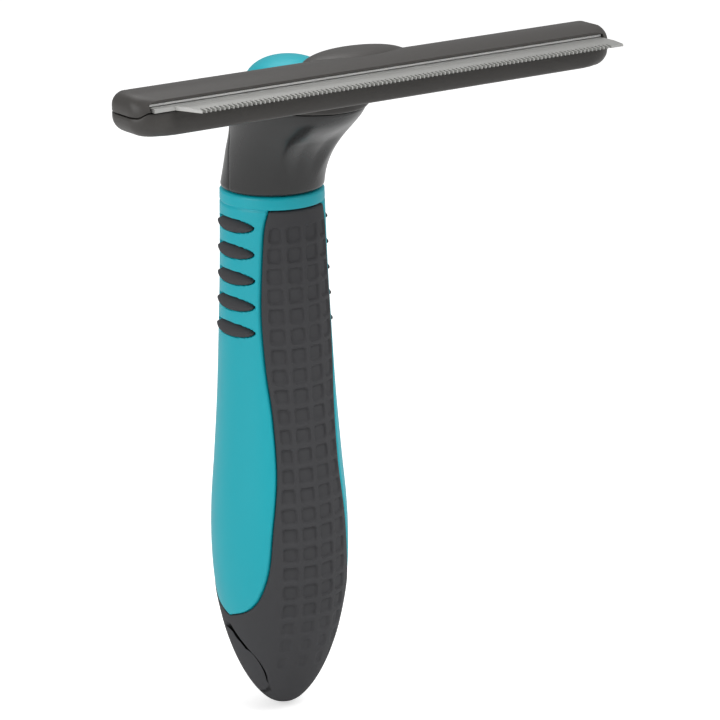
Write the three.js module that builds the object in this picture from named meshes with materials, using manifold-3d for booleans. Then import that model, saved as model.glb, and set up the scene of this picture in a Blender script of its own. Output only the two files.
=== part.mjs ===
// Undercoat grooming comb with a hair ejector, standing on the end of its handle.
// Millimetres. +Z up the handle, -Y towards the teeth, +X along the bar.
import * as THREE from 'three';
import * as BufferGeometryUtils from 'three/addons/utils/BufferGeometryUtils.js';
import Module from 'manifold-3d';

const wasm = await Module();
wasm.setup();

// ---------- driving dimensions ----------
const GAP = 0.3;                  // clearance between neighbouring pieces
const BLADE_HEIGHT = 148;         // blade top face above the end of the handle
const TIP_REACH = 49;             // tooth tips in front of the handle axis
const BAR_LENGTH = 114;
const BAR_FRONT = 6;              // bar front behind the tips
const BAR_DEPTH = 13;
const BAR_DROP = 5.8;             // bar underside below the blade top
const BAR_CREST = 2.3;            // bar crest above the blade top
const BLADE_LENGTH = 108;
const BLADE_THICK = 0.8;
const BLADE_DEPTH = 13;
const TOOTH_PITCH = 1.0;
const TOOTH_DEPTH = 1.4;
const PLAIN_LEFT = 7;             // plain steel left of the teeth, set back from their tips
const PLAIN_RIGHT = 3;
const SET_BACK = 5.4;
const COVER_FRONT = 7;            // front edge of the upper shell behind the tips
const EJECT_TRAVEL = 6.5;
const EJECTOR_THICK = 0.4;

const NECK_TOP = BLADE_HEIGHT - 11.3;
const HANDLE_TOP = BLADE_HEIGHT - 31.2;
const RING_HEIGHT = 3.0;          // plain band above the grip
const SKIN = 2.0;                 // thickness of the soft grip
const DECK_TOP = BLADE_HEIGHT - 9;
const DECK_THICK = 2.0;

const RIB_COUNT = 5;
const RIB_PITCH = 5.6;
const RIB_TOP = HANDLE_TOP - 6.7; // centre of the topmost rib
const RIB_HEIGHT = 2.3;
const RIB_HALF_ANGLE = 34;        // degrees each side of straight out sideways
const RIB_DEPTH = 1.4;
const RIB_PROUD = 0.25;

const HOLE_RADIUS = 5.2;          // hanging hole, round end
const HOLE_CENTRE_Z = 11.2;
const HOLE_CENTRE_Y = 1.3;
const HOLE_TIP_Z = 20.5;          // point of the teardrop

const BUTTON_CENTRE = 41.5;       // behind the tips
const BUTTON_HALF_WIDTH = 9;
const BUTTON_HALF_DEPTH = 10.5;
const BUTTON_RISE = 6.4;
const BUTTON_WALL = 1.1;
const SPRING_RADIUS = 1.3;
const ROD_RADIUS = 0.6;
const POST_FRONT = 33.5;          // behind the tips
const POST_THICK = 1.2;
const POST_HALF = 1.5;
const LUG_FRONT = 47.4;

// A share of the way up the grip, from the top of its end cap to the top of the handle.
const CAP_TOP = 23;
const up = (share) => CAP_TOP + share * (HANDLE_TOP - CAP_TOP);

// Half width of the handle at heights above its end, from top to bottom.
const HANDLE_PROFILE = [
  [up(1), 10.9], [up(0.82), 11.3], [up(0.67), 11.9], [up(0.52), 12.6], [up(0.373), 13.6],
  [up(0.256), 14.5], [up(0.16), 14.7], [up(0.075), 14.3], [CAP_TOP, 13.3], [16, 11.7],
  [9, 9.0], [4, 6.0], [1.2, 3.2], [0, 0],
];
const DEPTH_RATIO = 1.03;         // handle depth over its width

// Half angle of the soft band on the front and the back, in degrees, from top to bottom.
const BAND_PROFILE = [
  [HANDLE_TOP - RING_HEIGHT, 38], [up(0.928), 43], [up(0.853), 46], [up(0.736), 48],
  [up(0.608), 44], [up(0.501), 38], [up(0.363), 35], [up(0.224), 39.5], [up(0.139), 43],
  [up(0.075), 51], [CAP_TOP + 3.5, 62], [CAP_TOP + 0.5, 88],
];

// ---------- helpers ----------
const y = (behindTips) => behindTips - TIP_REACH;

function solid(geometry) {
  const bare = geometry.index ? geometry.toNonIndexed() : geometry.clone();
  for (const name of Object.keys(bare.attributes)) {
    if (name !== 'position') bare.deleteAttribute(name);
  }
  const merged = BufferGeometryUtils.mergeVertices(bare, 1e-4);
  const kept = [];
  const index = merged.index.array;
  for (let i = 0; i < index.length; i += 3) {
    const [a, b, c] = [index[i], index[i + 1], index[i + 2]];
    if (a !== b && b !== c && c !== a) kept.push(a, b, c);
  }
  return new wasm.Manifold(new wasm.Mesh({
    numProp: 3,
    vertProperties: Float32Array.from(merged.attributes.position.array),
    triVerts: Uint32Array.from(kept),
  }));
}

function geometryOf(manifold) {
  const mesh = manifold.getMesh();
  const geometry = new THREE.BufferGeometry();
  geometry.setAttribute('position', new THREE.BufferAttribute(Float32Array.from(mesh.vertProperties), 3));
  geometry.setIndex(new THREE.BufferAttribute(Uint32Array.from(mesh.triVerts), 1));
  return geometry;
}

function box(x0, x1, y0, y1, z0, z1) {
  const geometry = new THREE.BoxGeometry(x1 - x0, y1 - y0, z1 - z0);
  geometry.translate((x0 + x1) / 2, (y0 + y1) / 2, (z0 + z1) / 2);
  return solid(geometry);
}

// Round bar along 'x', 'y' or 'z' between two positions; the second radius makes it a cone.
function rod(axis, centre, from, to, radius, sides = 16, endRadius = radius) {
  const geometry = new THREE.CylinderGeometry(endRadius, radius, to - from, sides);
  geometry.translate(0, (from + to) / 2, 0);
  if (axis === 'x') geometry.rotateZ(-Math.PI / 2);
  if (axis === 'z') geometry.rotateX(Math.PI / 2);
  geometry.translate(...centre);
  return solid(geometry);
}

// Extrudes a flat outline upwards, from z0 to z1.
function slab(shape, z0, z1, curveSegments = 8) {
  const geometry = new THREE.ExtrudeGeometry(shape, { depth: z1 - z0, bevelEnabled: false, curveSegments });
  geometry.translate(0, 0, z0);
  return solid(geometry);
}

// Extrudes an outline drawn in (Y, Z) along X.
function sideSlab(shape, x0, x1, curveSegments = 8) {
  const geometry = new THREE.ExtrudeGeometry(shape, { depth: x1 - x0, bevelEnabled: false, curveSegments });
  geometry.rotateY(Math.PI / 2);
  geometry.rotateX(Math.PI / 2);
  geometry.translate(x0, 0, 0);
  return solid(geometry);
}

function outline(points) {
  return new THREE.Shape(points.map(([u, v]) => new THREE.Vector2(u, v)));
}

// Rectangle with round corners in plan.
function plate(halfX, y0, y1, radius) {
  const shape = new THREE.Shape();
  shape.moveTo(-halfX + radius, y0);
  shape.lineTo(halfX - radius, y0);
  shape.absarc(halfX - radius, y0 + radius, radius, -Math.PI / 2, 0);
  shape.lineTo(halfX, y1 - radius);
  shape.absarc(halfX - radius, y1 - radius, radius, 0, Math.PI / 2);
  shape.lineTo(-halfX + radius, y1);
  shape.absarc(-halfX + radius, y1 - radius, radius, Math.PI / 2, Math.PI);
  shape.lineTo(-halfX, y0 + radius);
  shape.absarc(-halfX + radius, y0 + radius, radius, Math.PI, Math.PI * 1.5);
  return shape;
}

function ellipse(centreY, halfX, halfY) {
  const shape = new THREE.Shape();
  shape.absellipse(0, centreY, halfX, halfY, 0, Math.PI * 2);
  return shape;
}

// Solid through a stack of ellipses [z, centreY, halfX, halfY], given from bottom to top.
function loft(levels, sides = 32) {
  const position = [];
  const index = [];
  levels.forEach(([z, centreY, halfX, halfY]) => {
    for (let i = 0; i < sides; i += 1) {
      const a = (i / sides) * Math.PI * 2;
      position.push(halfX * Math.cos(a), centreY + halfY * Math.sin(a), z);
    }
  });
  for (let k = 0; k < levels.length - 1; k += 1) {
    for (let i = 0; i < sides; i += 1) {
      const a = k * sides + i;
      const b = k * sides + ((i + 1) % sides);
      index.push(a, b, b + sides, a, b + sides, a + sides);
    }
  }
  const last = (levels.length - 1) * sides;
  for (let i = 1; i < sides - 1; i += 1) {
    index.push(0, i + 1, i, last, last + i, last + i + 1);
  }
  const geometry = new THREE.BufferGeometry();
  geometry.setAttribute('position', new THREE.Float32BufferAttribute(position, 3));
  geometry.setIndex(index);
  return solid(geometry);
}

function smooth(points, count) {
  const knots = points.map(([z, r]) => new THREE.Vector3(r, z, 0));
  const curve = new THREE.CatmullRomCurve3(knots, false, 'centripetal');
  return curve.getPoints(count).map((p) => [Math.max(p.x, 0), p.y]);
}

// ---------- handle ----------
const PROFILE = smooth(HANDLE_PROFILE, 22);

function handleRadius(z) {
  for (let i = 0; i < PROFILE.length - 1; i += 1) {
    const [r0, z0] = PROFILE[i];
    const [r1, z1] = PROFILE[i + 1];
    if (z <= z0 && z >= z1) return r0 + ((r1 - r0) * (z0 - z)) / (z0 - z1);
  }
  return z > HANDLE_TOP ? PROFILE[0][0] : 0;
}

// The handle's outer form, shrunk by an inset and cut off below a height.
function handleForm(inset, bottom = 0, top = HANDLE_TOP, sides = 36) {
  const heights = PROFILE.map((p) => p[1]).filter((z) => z < top - 0.5 && z > bottom + 0.5);
  const points = [[0, bottom]];
  if (bottom > 0) points.push([handleRadius(bottom) - inset, bottom]);
  heights.reverse().forEach((z) => points.push([handleRadius(z) - inset, z]));
  points.push([handleRadius(top) - inset, top], [0, top]);
  const section = points.map(([r, z]) => new THREE.Vector2(Math.max(r, 0), z));
  const geometry = new THREE.LatheGeometry(section, sides);
  geometry.rotateX(Math.PI / 2);
  geometry.scale(1, DEPTH_RATIO, 1);
  return solid(geometry);
}

// Front view outline of the soft band, widening into the cap at the bottom.
function bandWindow(grow) {
  const band = smooth(BAND_PROFILE, 18);
  const right = band.map(([angle, z]) => [
    handleRadius(z) * Math.sin(THREE.MathUtils.degToRad(Math.min(angle, 90))) + grow,
    z + (angle > 48 ? grow : 0),
  ]);
  right[0][1] += grow;
  const wide = 20;
  const lowest = right[right.length - 1][1];
  const side = [...right, [wide, lowest], [wide, -2]];
  const shape = outline([...side, ...side.map(([x, z]) => [-x, z]).reverse()]);
  const geometry = new THREE.ExtrudeGeometry(shape, { depth: 60, bevelEnabled: false });
  geometry.rotateX(Math.PI / 2);
  geometry.translate(0, 30, 0);
  return solid(geometry);
}

const CORE_BOTTOM = HOLE_TIP_Z + 2.5;

function teardrop(grow) {
  const shape = new THREE.Shape();
  const radius = HOLE_RADIUS + grow;
  const rise = HOLE_TIP_Z + grow * 1.4 - HOLE_CENTRE_Z;
  const touch = Math.asin(radius / rise);
  shape.moveTo(HOLE_CENTRE_Y, HOLE_CENTRE_Z + rise);
  shape.absarc(HOLE_CENTRE_Y, HOLE_CENTRE_Z, radius, Math.PI - touch, Math.PI * 2 + touch, false);
  return sideSlab(shape, -20, 20, 14);
}

function ribForm(side, k, grow) {
  const z = RIB_TOP - k * RIB_PITCH;
  const outer = handleRadius(z) + RIB_PROUD + (grow > 0 ? 1 : 0);
  const inner = handleRadius(z) - RIB_DEPTH - grow;
  const span = THREE.MathUtils.degToRad(RIB_HALF_ANGLE) + grow / outer;
  const steps = 12;
  const lens = [];
  for (let i = 0; i <= steps; i += 1) {
    const t = -1 + (2 * i) / steps;
    lens.push([outer * Math.sin(span * t), (RIB_HEIGHT / 2 + grow) * (1 - t * t) + 0.08]);
  }
  const shape = outline([...lens, ...lens.map(([u, v]) => [u, -v]).reverse()]);
  const profile = new THREE.ExtrudeGeometry(shape, { depth: 20, bevelEnabled: false });
  profile.rotateX(Math.PI / 2);
  profile.rotateZ(Math.PI / 2);
  profile.translate(0, 0, z);
  if (side < 0) profile.rotateZ(Math.PI);
  const ring = loft([[z - 4, 0, outer, outer * DEPTH_RATIO], [z + 4, 0, outer, outer * DEPTH_RATIO]], 36)
    .subtract(loft([[z - 5, 0, inner, inner * DEPTH_RATIO], [z + 5, 0, inner, inner * DEPTH_RATIO]], 36));
  return solid(profile).intersect(ring);
}

const ribPlaces = [];
for (const [side, name] of [[-1, 'left'], [1, 'right']]) {
  for (let k = 0; k < RIB_COUNT; k += 1) ribPlaces.push({ side, k, name: `${name}_rib_${k + 1}` });
}

const SPIGOT_RADIUS = 6.0;
const SPIGOT_TOP = HANDLE_TOP + 7.5;
const NECK_SCREW_RADIUS = 1.1;
const NECK_SCREW_HEAD = 2.1;
const NECK_SCREW_BOSS = 3.0;
const NECK_SCREW_HEIGHTS = [HANDLE_TOP + 3.8, HANDLE_TOP + 12];

function handleCore() {
  const skinSpace = handleForm(-3, 0, HANDLE_TOP + 1).subtract(handleForm(SKIN + GAP, CORE_BOTTOM));
  let core = handleForm(0, 1, HANDLE_TOP).subtract(skinSpace.intersect(bandWindow(GAP)));
  core = core.subtract(box(-20, 20, -20, 20, -2, CORE_BOTTOM));
  for (const { side, k } of ribPlaces) core = core.subtract(ribForm(side, k, GAP));
  core = core.add(rod('z', [0, 0, 0], HANDLE_TOP - 1, SPIGOT_TOP, SPIGOT_RADIUS, 24));
  const [lowScrew] = NECK_SCREW_HEIGHTS;
  core = core.subtract(rod('y', [0, 0, lowScrew], -12, 12, NECK_SCREW_RADIUS + GAP, 12));
  return core;
}

function softGrip() {
  const skin = handleForm(0, 0).subtract(handleForm(SKIN, CORE_BOTTOM - GAP));
  return skin.intersect(bandWindow(0)).subtract(teardrop(0));
}

// ---------- neck ----------
const DECK_SCREW_X = [-5.9, 5.9];
const DECK_SCREW_BEHIND = 41.5;
const DECK_SCREW_RADIUS = 0.9;
const DECK_SCREW_HEAD = 1.7;
const DECK_SCREW_SINK = 1.1;
const DECK_BOSS = 2.3;
const DECK_BOSS_DEPTH = 7;
const WEB_THICK = 1.4;            // web between a deck screw's boss and the neck's side
const NECK_HALF = 12;

const NECK_LEVELS = [
  [HANDLE_TOP + GAP, 0, 10.8, 11.2],
  [BLADE_HEIGHT - 27, -1.2, 10.7, 11.2],
  [BLADE_HEIGHT - 23, -3.0, 10.9, 11.8],
  [BLADE_HEIGHT - 19, -5.6, 11.3, 13.0],
  [BLADE_HEIGHT - 15.5, -8.0, 11.9, 14.8],
  [BLADE_HEIGHT - 13, -9.6, 12.4, 16.0],
  [NECK_TOP, -10.3, 12.8, 16.6],
];
const NECK_WALL = 2.0;
const NECK_SPLIT = 0;             // parting plane of the two neck shells

function neckForm() {
  const inner = NECK_LEVELS.map(([z, c, a, b]) => [z, c, a - NECK_WALL, b - NECK_WALL]);
  inner[0][0] -= 1;
  inner[inner.length - 1][0] += 1;
  return loft(NECK_LEVELS).subtract(loft(inner));
}

// Centre and half depth of the neck at a height.
function neckAt(z) {
  const k = Math.max(1, NECK_LEVELS.findIndex((level) => level[0] >= z));
  const [z0, c0, , b0] = NECK_LEVELS[k - 1];
  const [z1, c1, , b1] = NECK_LEVELS[k];
  const t = (z - z0) / (z1 - z0);
  return { centre: c0 + (c1 - c0) * t, half: b0 + (b1 - b0) * t };
}

// Ends of the two screw bosses at a height: they meet the spigot, or each other above it.
function bossEnd(z) {
  return z - NECK_SCREW_BOSS < SPIGOT_TOP ? SPIGOT_RADIUS + GAP : GAP / 2;
}

const SCREW_SINK = 1.6;           // screw heads below the back of the neck
const SCREW_STOP = 3.0;           // blind end of the screw behind the front of the neck
const SCREW_REACH = 9;            // longest reach of a neck screw in front of the handle axis

function neckShell(front) {
  const [from, to] = front ? [-40, NECK_SPLIT - GAP / 2] : [NECK_SPLIT + GAP / 2, 40];
  const outside = loft(NECK_LEVELS);
  let shell = neckForm().intersect(box(-20, 20, from, to, 0, 200));
  for (const z of NECK_SCREW_HEIGHTS) {
    const { centre, half: depth } = neckAt(z);
    const back = centre + depth - SCREW_SINK;
    const stop = centre - depth + SCREW_STOP;
    if (front) {
      const boss = rod('y', [0, 0, z], stop - 2, -bossEnd(z), NECK_SCREW_BOSS, 16);
      shell = shell.add(boss.intersect(outside));
      shell = shell.subtract(rod('y', [0, 0, z], stop, 1, NECK_SCREW_RADIUS + GAP, 12));
    } else {
      const boss = rod('y', [0, 0, z], bossEnd(z), back, NECK_SCREW_BOSS, 16);
      shell = shell.add(boss.intersect(outside));
      shell = shell.subtract(rod('y', [0, 0, z], -1, back + 5, NECK_SCREW_RADIUS + GAP, 12));
      shell = shell.subtract(rod('y', [0, 0, z], back - GAP, back + 8, NECK_SCREW_HEAD + GAP, 16));
    }
  }
  if (front) {
    for (const x of DECK_SCREW_X) {
      const centre = [x, y(DECK_SCREW_BEHIND), 0];
      const boss = rod('z', centre, NECK_TOP - DECK_BOSS_DEPTH, NECK_TOP, DECK_BOSS, 16);
      const [left, right] = [x, Math.sign(x) * NECK_HALF].sort((a, b) => a - b);
      const web = box(left, right, centre[1] - WEB_THICK / 2, centre[1] + WEB_THICK / 2,
        NECK_TOP - DECK_BOSS_DEPTH, NECK_TOP - 0.5);
      shell = shell.add(boss.add(web).intersect(outside));
      const blind = NECK_TOP - DECK_BOSS_DEPTH + 1;
      shell = shell.subtract(rod('z', centre, blind, NECK_TOP + 1, DECK_SCREW_RADIUS + GAP, 12));
    }
  }
  return shell;
}

function deckScrew(x) {
  const centre = [x, y(DECK_SCREW_BEHIND), 0];
  const seat = DECK_TOP - DECK_SCREW_SINK + GAP;
  return rod('z', centre, NECK_TOP - DECK_BOSS_DEPTH + 1 + GAP, seat + 0.2, DECK_SCREW_RADIUS, 12)
    .add(rod('z', centre, seat, DECK_TOP - 0.1, DECK_SCREW_HEAD, 16));
}

function neckScrew(z) {
  const { centre, half } = neckAt(z);
  const back = centre + half - SCREW_SINK;
  const tip = Math.max(centre - half + SCREW_STOP, -SCREW_REACH) + GAP;
  const shank = rod('y', [0, 0, z], tip, back + 0.5, NECK_SCREW_RADIUS, 12);
  return shank.add(rod('y', [0, 0, z], back, back + 1.2, NECK_SCREW_HEAD, 16));
}

// ---------- head ----------
const BLADE_TOP = BLADE_HEIGHT;
const BLADE_SEAT = BLADE_TOP - BLADE_THICK - GAP;
const BAR_BOTTOM = BLADE_TOP - BAR_DROP;
const BAR_BACK = BAR_FRONT + BAR_DEPTH;
const HALF_BAR = BAR_LENGTH / 2;
const HALF_BLADE = BLADE_LENGTH / 2;
const RAIL_OUTER = 3.6;
const CHANNEL_HALF = RAIL_OUTER + GAP;
const RISER_BACK = 22.6;          // behind the tips, at rest
const RISER_THICK = 1.9;
const RISER_BOTTOM = BLADE_TOP - 5;
const STRUT_BACK = 28;            // where the slider's strut meets its rails
const CHANNEL_FRONT = RISER_BACK - RISER_THICK - EJECT_TRAVEL - GAP;
const HOOD_CENTRE = 17.4;
const HOOD_BACK = 24.2;
const DECK_REACH = 7.2;           // end of the deck behind the handle axis
const DECK_BACK = TIP_REACH + DECK_REACH;
const DECK_HALF = 13.2;
const BLADE_SCREW_X = [-42, -21, 21, 42];
const BLADE_SCREW_RADIUS = 0.9;
const BLADE_SCREW_HEAD = 1.8;
const BLADE_SCREW_BEHIND = 11;
const HEAD_SCREW_X = [-48, -11, 11, 48];
const HEAD_SCREW_RADIUS = 0.9;
const HEAD_SCREW_HEAD = 1.8;
const HEAD_SCREW_BEHIND = 16.4;
const POST_RISE = 2.5;
const ROD_Z = DECK_TOP + 1.6;
const SLIDE_THICK = 1.3;
const SLIDE_BOTTOM = DECK_TOP + GAP;
const RAIL_INNER = POST_HALF + GAP + 0.2;

const deckCentre = y((HOOD_BACK - 3 + DECK_BACK) / 2);
const deckHalfDepth = (DECK_BACK - HOOD_BACK + 3) / 2;

// Plan ellipses of the body that joins bar and deck: height from the blade, half width, half depth.
const JOINT_LEVELS = [[-9.9, 11.2, 6.5], [-8, 12.2, 6.8], [-5, 12.8, 6.9], [-1.1, 13, 6.9]];
const HOOD_LEVELS = [[-0.8, 13, 6.9], [1.2, 12.8, 6.2], [2.0, 10.8, 4.8], [2.6, 7, 3], [3.0, 1.6, 0.8]];

function bodyLoft(levels) {
  return loft(levels.map(([z, halfX, halfY]) => [BLADE_TOP + z, y(HOOD_CENTRE), halfX, halfY]));
}

// The slider's way, in (Y, Z): down behind the blade and out over the deck.
function channel(roof) {
  return sideSlab(outline([
    [y(CHANNEL_FRONT), RISER_BOTTOM - GAP - 0.1], [y(STRUT_BACK - EJECT_TRAVEL), DECK_TOP],
    [y(HOOD_BACK + 3), DECK_TOP], [y(HOOD_BACK + 3), roof - 4.6], [y(RISER_BACK + GAP), roof - 3.4],
    [y(RISER_BACK + GAP), roof], [y(CHANNEL_FRONT), roof],
  ]), -CHANNEL_HALF, CHANNEL_HALF);
}

function lowerShell() {
  const bar = slab(plate(HALF_BAR, y(BAR_FRONT), y(BAR_BACK), 4), BAR_BOTTOM, BLADE_SEAT);
  const underside = sideSlab(outline([
    [y(BAR_FRONT + 4), BAR_BOTTOM], [y(BAR_FRONT + 7), BAR_BOTTOM - 1.2],
    [y(HOOD_BACK - 2), DECK_TOP - 0.9], [y(HOOD_BACK + 2), DECK_TOP - DECK_THICK],
    [y(HOOD_BACK + 2), BLADE_TOP + 9], [y(BAR_FRONT + 4), BLADE_TOP + 9],
  ]), -20, 20);
  const gusset = bodyLoft(JOINT_LEVELS).intersect(underside);
  const deck = slab(ellipse(deckCentre, DECK_HALF, deckHalfDepth), DECK_TOP - DECK_THICK, DECK_TOP, 20);
  let shell = bar.add(gusset).add(deck);
  shell = shell.subtract(channel(BLADE_TOP + 0.1));
  shell = shell.add(box(-POST_HALF, POST_HALF, y(POST_FRONT), y(POST_FRONT + POST_THICK),
    DECK_TOP - 0.5, DECK_TOP + POST_RISE));
  shell = shell.subtract(rod('y', [0, 0, ROD_Z], y(POST_FRONT - 2), y(POST_FRONT + 3), ROD_RADIUS + GAP, 12));
  for (const x of DECK_SCREW_X) {
    const centre = [x, y(DECK_SCREW_BEHIND), 0];
    shell = shell.subtract(rod('z', centre, DECK_TOP - 5, DECK_TOP + 1, DECK_SCREW_RADIUS + GAP, 12));
    const seat = DECK_TOP - DECK_SCREW_SINK;
    shell = shell.subtract(rod('z', centre, seat, DECK_TOP + 1, DECK_SCREW_HEAD + GAP, 16));
  }
  for (const x of BLADE_SCREW_X) {
    const centre = [x, y(BLADE_SCREW_BEHIND), 0];
    shell = shell.subtract(rod('z', centre, BAR_BOTTOM + 1, BLADE_TOP, BLADE_SCREW_RADIUS + GAP, 12));
  }
  for (const x of HEAD_SCREW_X) {
    const centre = [x, y(HEAD_SCREW_BEHIND), 0];
    shell = shell.subtract(rod('z', centre, BAR_BOTTOM - 8, BLADE_TOP, HEAD_SCREW_RADIUS + GAP, 12));
    shell = shell.subtract(rod('z', centre, BAR_BOTTOM - 8, BAR_BOTTOM + 1.8, HEAD_SCREW_HEAD + GAP, 16));
  }
  return shell;
}

const COVER_BOTTOM = BLADE_SEAT + GAP;
const LIP_RISE = 1.2;             // front edge of the upper shell above the blade top
const PLATE_BOTTOM = BLADE_TOP + 0.15;
const PLATE_TOP = PLATE_BOTTOM + EJECTOR_THICK;
const ROOF_INNER = PLATE_TOP + 0.15;

function upperShell() {
  const section = new THREE.Shape();
  section.moveTo(y(BAR_FRONT), COVER_BOTTOM);
  section.lineTo(y(BAR_BACK), COVER_BOTTOM);
  section.bezierCurveTo(y(BAR_BACK), BLADE_TOP + 1.4, y(BAR_BACK - 2.6), BLADE_TOP + BAR_CREST,
    y(BAR_FRONT + 6), BLADE_TOP + BAR_CREST);
  section.lineTo(y(BAR_FRONT + 1), BLADE_TOP + LIP_RISE);
  section.lineTo(y(BAR_FRONT), BLADE_TOP + LIP_RISE - 0.3);
  let shell = sideSlab(section, -HALF_BAR, HALF_BAR)
    .intersect(slab(plate(HALF_BAR, y(BAR_FRONT), y(BAR_BACK), 4), BAR_BOTTOM, BLADE_TOP + 5));
  const behindCrest = box(-20, 20, y(BAR_FRONT + 6), y(BAR_BACK + 20), COVER_BOTTOM, BLADE_TOP + 9);
  shell = shell.add(bodyLoft(HOOD_LEVELS).intersect(behindCrest));
  // Window for the blade and the ejector plate, with end blocks left standing.
  shell = shell.subtract(box(-HALF_BLADE - GAP, HALF_BLADE + GAP, y(BAR_FRONT - 3), y(BLADE_DEPTH + GAP),
    COVER_BOTTOM - 1, ROOF_INNER));
  shell = shell.subtract(box(-HALF_BLADE - GAP, HALF_BLADE + GAP, y(BAR_FRONT - 3), y(COVER_FRONT),
    COVER_BOTTOM - 1, BLADE_TOP + 6));
  // Room for the ejector's tab and riser behind the blade.
  shell = shell.subtract(box(-CHANNEL_HALF, CHANNEL_HALF, y(BLADE_DEPTH - 1), y(RISER_BACK + GAP),
    COVER_BOTTOM - 1, ROOF_INNER));
  for (const x of HEAD_SCREW_X) {
    const centre = [x, y(HEAD_SCREW_BEHIND), 0];
    shell = shell.subtract(rod('z', centre, BAR_BOTTOM, BLADE_TOP + 1.2, HEAD_SCREW_RADIUS + GAP, 12));
  }
  return shell;
}

function combBlade() {
  const teeth = Math.floor((BLADE_LENGTH - PLAIN_LEFT - PLAIN_RIGHT) / TOOTH_PITCH);
  const start = -HALF_BLADE + PLAIN_LEFT;
  const points = [
    [-HALF_BLADE, y(BLADE_DEPTH)], [-HALF_BLADE, y(SET_BACK)], [start - 2.4, y(SET_BACK)], [start, y(0)],
  ];
  for (let i = 0; i < teeth; i += 1) {
    const x = start + i * TOOTH_PITCH;
    points.push([x + TOOTH_PITCH * 0.15, y(0)], [x + TOOTH_PITCH * 0.35, y(TOOTH_DEPTH)]);
    points.push([x + TOOTH_PITCH * 0.65, y(TOOTH_DEPTH)], [x + TOOTH_PITCH * 0.85, y(0)]);
  }
  points.push([HALF_BLADE, y(0)], [HALF_BLADE, y(BLADE_DEPTH)]);
  let blade = slab(outline(points), BLADE_TOP - BLADE_THICK, BLADE_TOP);
  // Ground bevel towards the tips.
  blade = blade.subtract(sideSlab(outline([
    [y(-1), BLADE_TOP - 0.3], [y(-1), BLADE_TOP + 1], [y(3), BLADE_TOP + 1], [y(3), BLADE_TOP],
    [y(0), BLADE_TOP - 0.3],
  ]), -HALF_BLADE - 1, HALF_BLADE + 1));
  for (const x of BLADE_SCREW_X) {
    const centre = [x, y(BLADE_SCREW_BEHIND), 0];
    blade = blade.subtract(rod('z', centre, BLADE_TOP - 2, BLADE_TOP + 1, BLADE_SCREW_HEAD + GAP, 16));
  }
  return blade;
}

function bladeScrew(x) {
  const centre = [x, y(BLADE_SCREW_BEHIND), 0];
  const shank = rod('z', centre, BAR_BOTTOM + 1.4, BLADE_TOP - 0.5, BLADE_SCREW_RADIUS, 12);
  return shank.add(rod('z', centre, BLADE_TOP - BLADE_THICK, BLADE_TOP, BLADE_SCREW_HEAD, 16));
}

function headScrew(x) {
  const centre = [x, y(HEAD_SCREW_BEHIND), 0];
  const shank = rod('z', centre, BAR_BOTTOM + 1, BLADE_TOP + 0.9, HEAD_SCREW_RADIUS, 12);
  return shank.add(rod('z', centre, BAR_BOTTOM + 0.3, BAR_BOTTOM + 1.5, HEAD_SCREW_HEAD, 16));
}

// ---------- ejector ----------
const LUG_THICK = 1.2;
const LUG_HALF = 1.8;
const LUG_RISE = 2.8;
const RIVET_X = [-2.4, 2.4];
const RIVET_BEHIND = RISER_BACK - RISER_THICK / 2;
const RIVET_RADIUS = 0.5;
const RIVET_HEAD = 0.8;

function ejectorPlate() {
  const strip = box(-HALF_BLADE, HALF_BLADE, y(COVER_FRONT + 0.2), y(BLADE_DEPTH), PLATE_BOTTOM, PLATE_TOP);
  const tab = box(-RAIL_OUTER, RAIL_OUTER, y(BLADE_DEPTH - 1), y(RISER_BACK), PLATE_BOTTOM, PLATE_TOP);
  let platework = strip.add(tab);
  for (const x of RIVET_X) {
    const centre = [x, y(RIVET_BEHIND), 0];
    const hole = rod('z', centre, BLADE_TOP - 2, BLADE_TOP + 3, RIVET_HEAD + GAP / 2, 12);
    platework = platework.subtract(hole);
  }
  return platework;
}

function ejectorSlider() {
  const top = PLATE_BOTTOM - GAP;
  const railTop = SLIDE_BOTTOM + SLIDE_THICK;
  const crank = sideSlab(outline([
    [y(RISER_BACK - RISER_THICK), top], [y(RISER_BACK - RISER_THICK), RISER_BOTTOM],
    [y(STRUT_BACK), SLIDE_BOTTOM], [y(STRUT_BACK + 1), SLIDE_BOTTOM], [y(STRUT_BACK + 1), railTop],
    [y(RISER_BACK), RISER_BOTTOM + 1], [y(RISER_BACK), top],
  ]), -RAIL_OUTER, RAIL_OUTER);
  const [lugFront, lugBack] = [y(LUG_FRONT), y(LUG_FRONT + LUG_THICK)];
  const lug = box(-LUG_HALF, LUG_HALF, lugFront, lugBack, SLIDE_BOTTOM, DECK_TOP + LUG_RISE);
  const foot = box(-RAIL_OUTER, RAIL_OUTER, lugFront, lugBack, SLIDE_BOTTOM, railTop);
  let slider = crank.add(lug).add(foot);
  for (const side of [-1, 1]) {
    const edges = [side * RAIL_INNER, side * RAIL_OUTER].sort((a, b) => a - b);
    slider = slider.add(box(edges[0], edges[1], y(STRUT_BACK), y(LUG_FRONT + 0.5), SLIDE_BOTTOM, railTop));
  }
  slider = slider.subtract(rod('y', [0, 0, ROD_Z], lugFront - 1, lugBack + 1, ROD_RADIUS + GAP / 2, 12));
  for (const x of RIVET_X) {
    const centre = [x, y(RIVET_BEHIND), 0];
    slider = slider.subtract(rod('z', centre, top - 2.5, top + 1, RIVET_RADIUS + GAP / 2, 12));
  }
  return slider;
}

function ejectorRivet(x) {
  const centre = [x, y(RIVET_BEHIND), 0];
  const shank = rod('z', centre, PLATE_BOTTOM - GAP - 2.2, PLATE_TOP - 0.2, RIVET_RADIUS, 12);
  return shank.add(rod('z', centre, PLATE_BOTTOM + 0.05, PLATE_TOP, RIVET_HEAD, 12));
}

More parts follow.
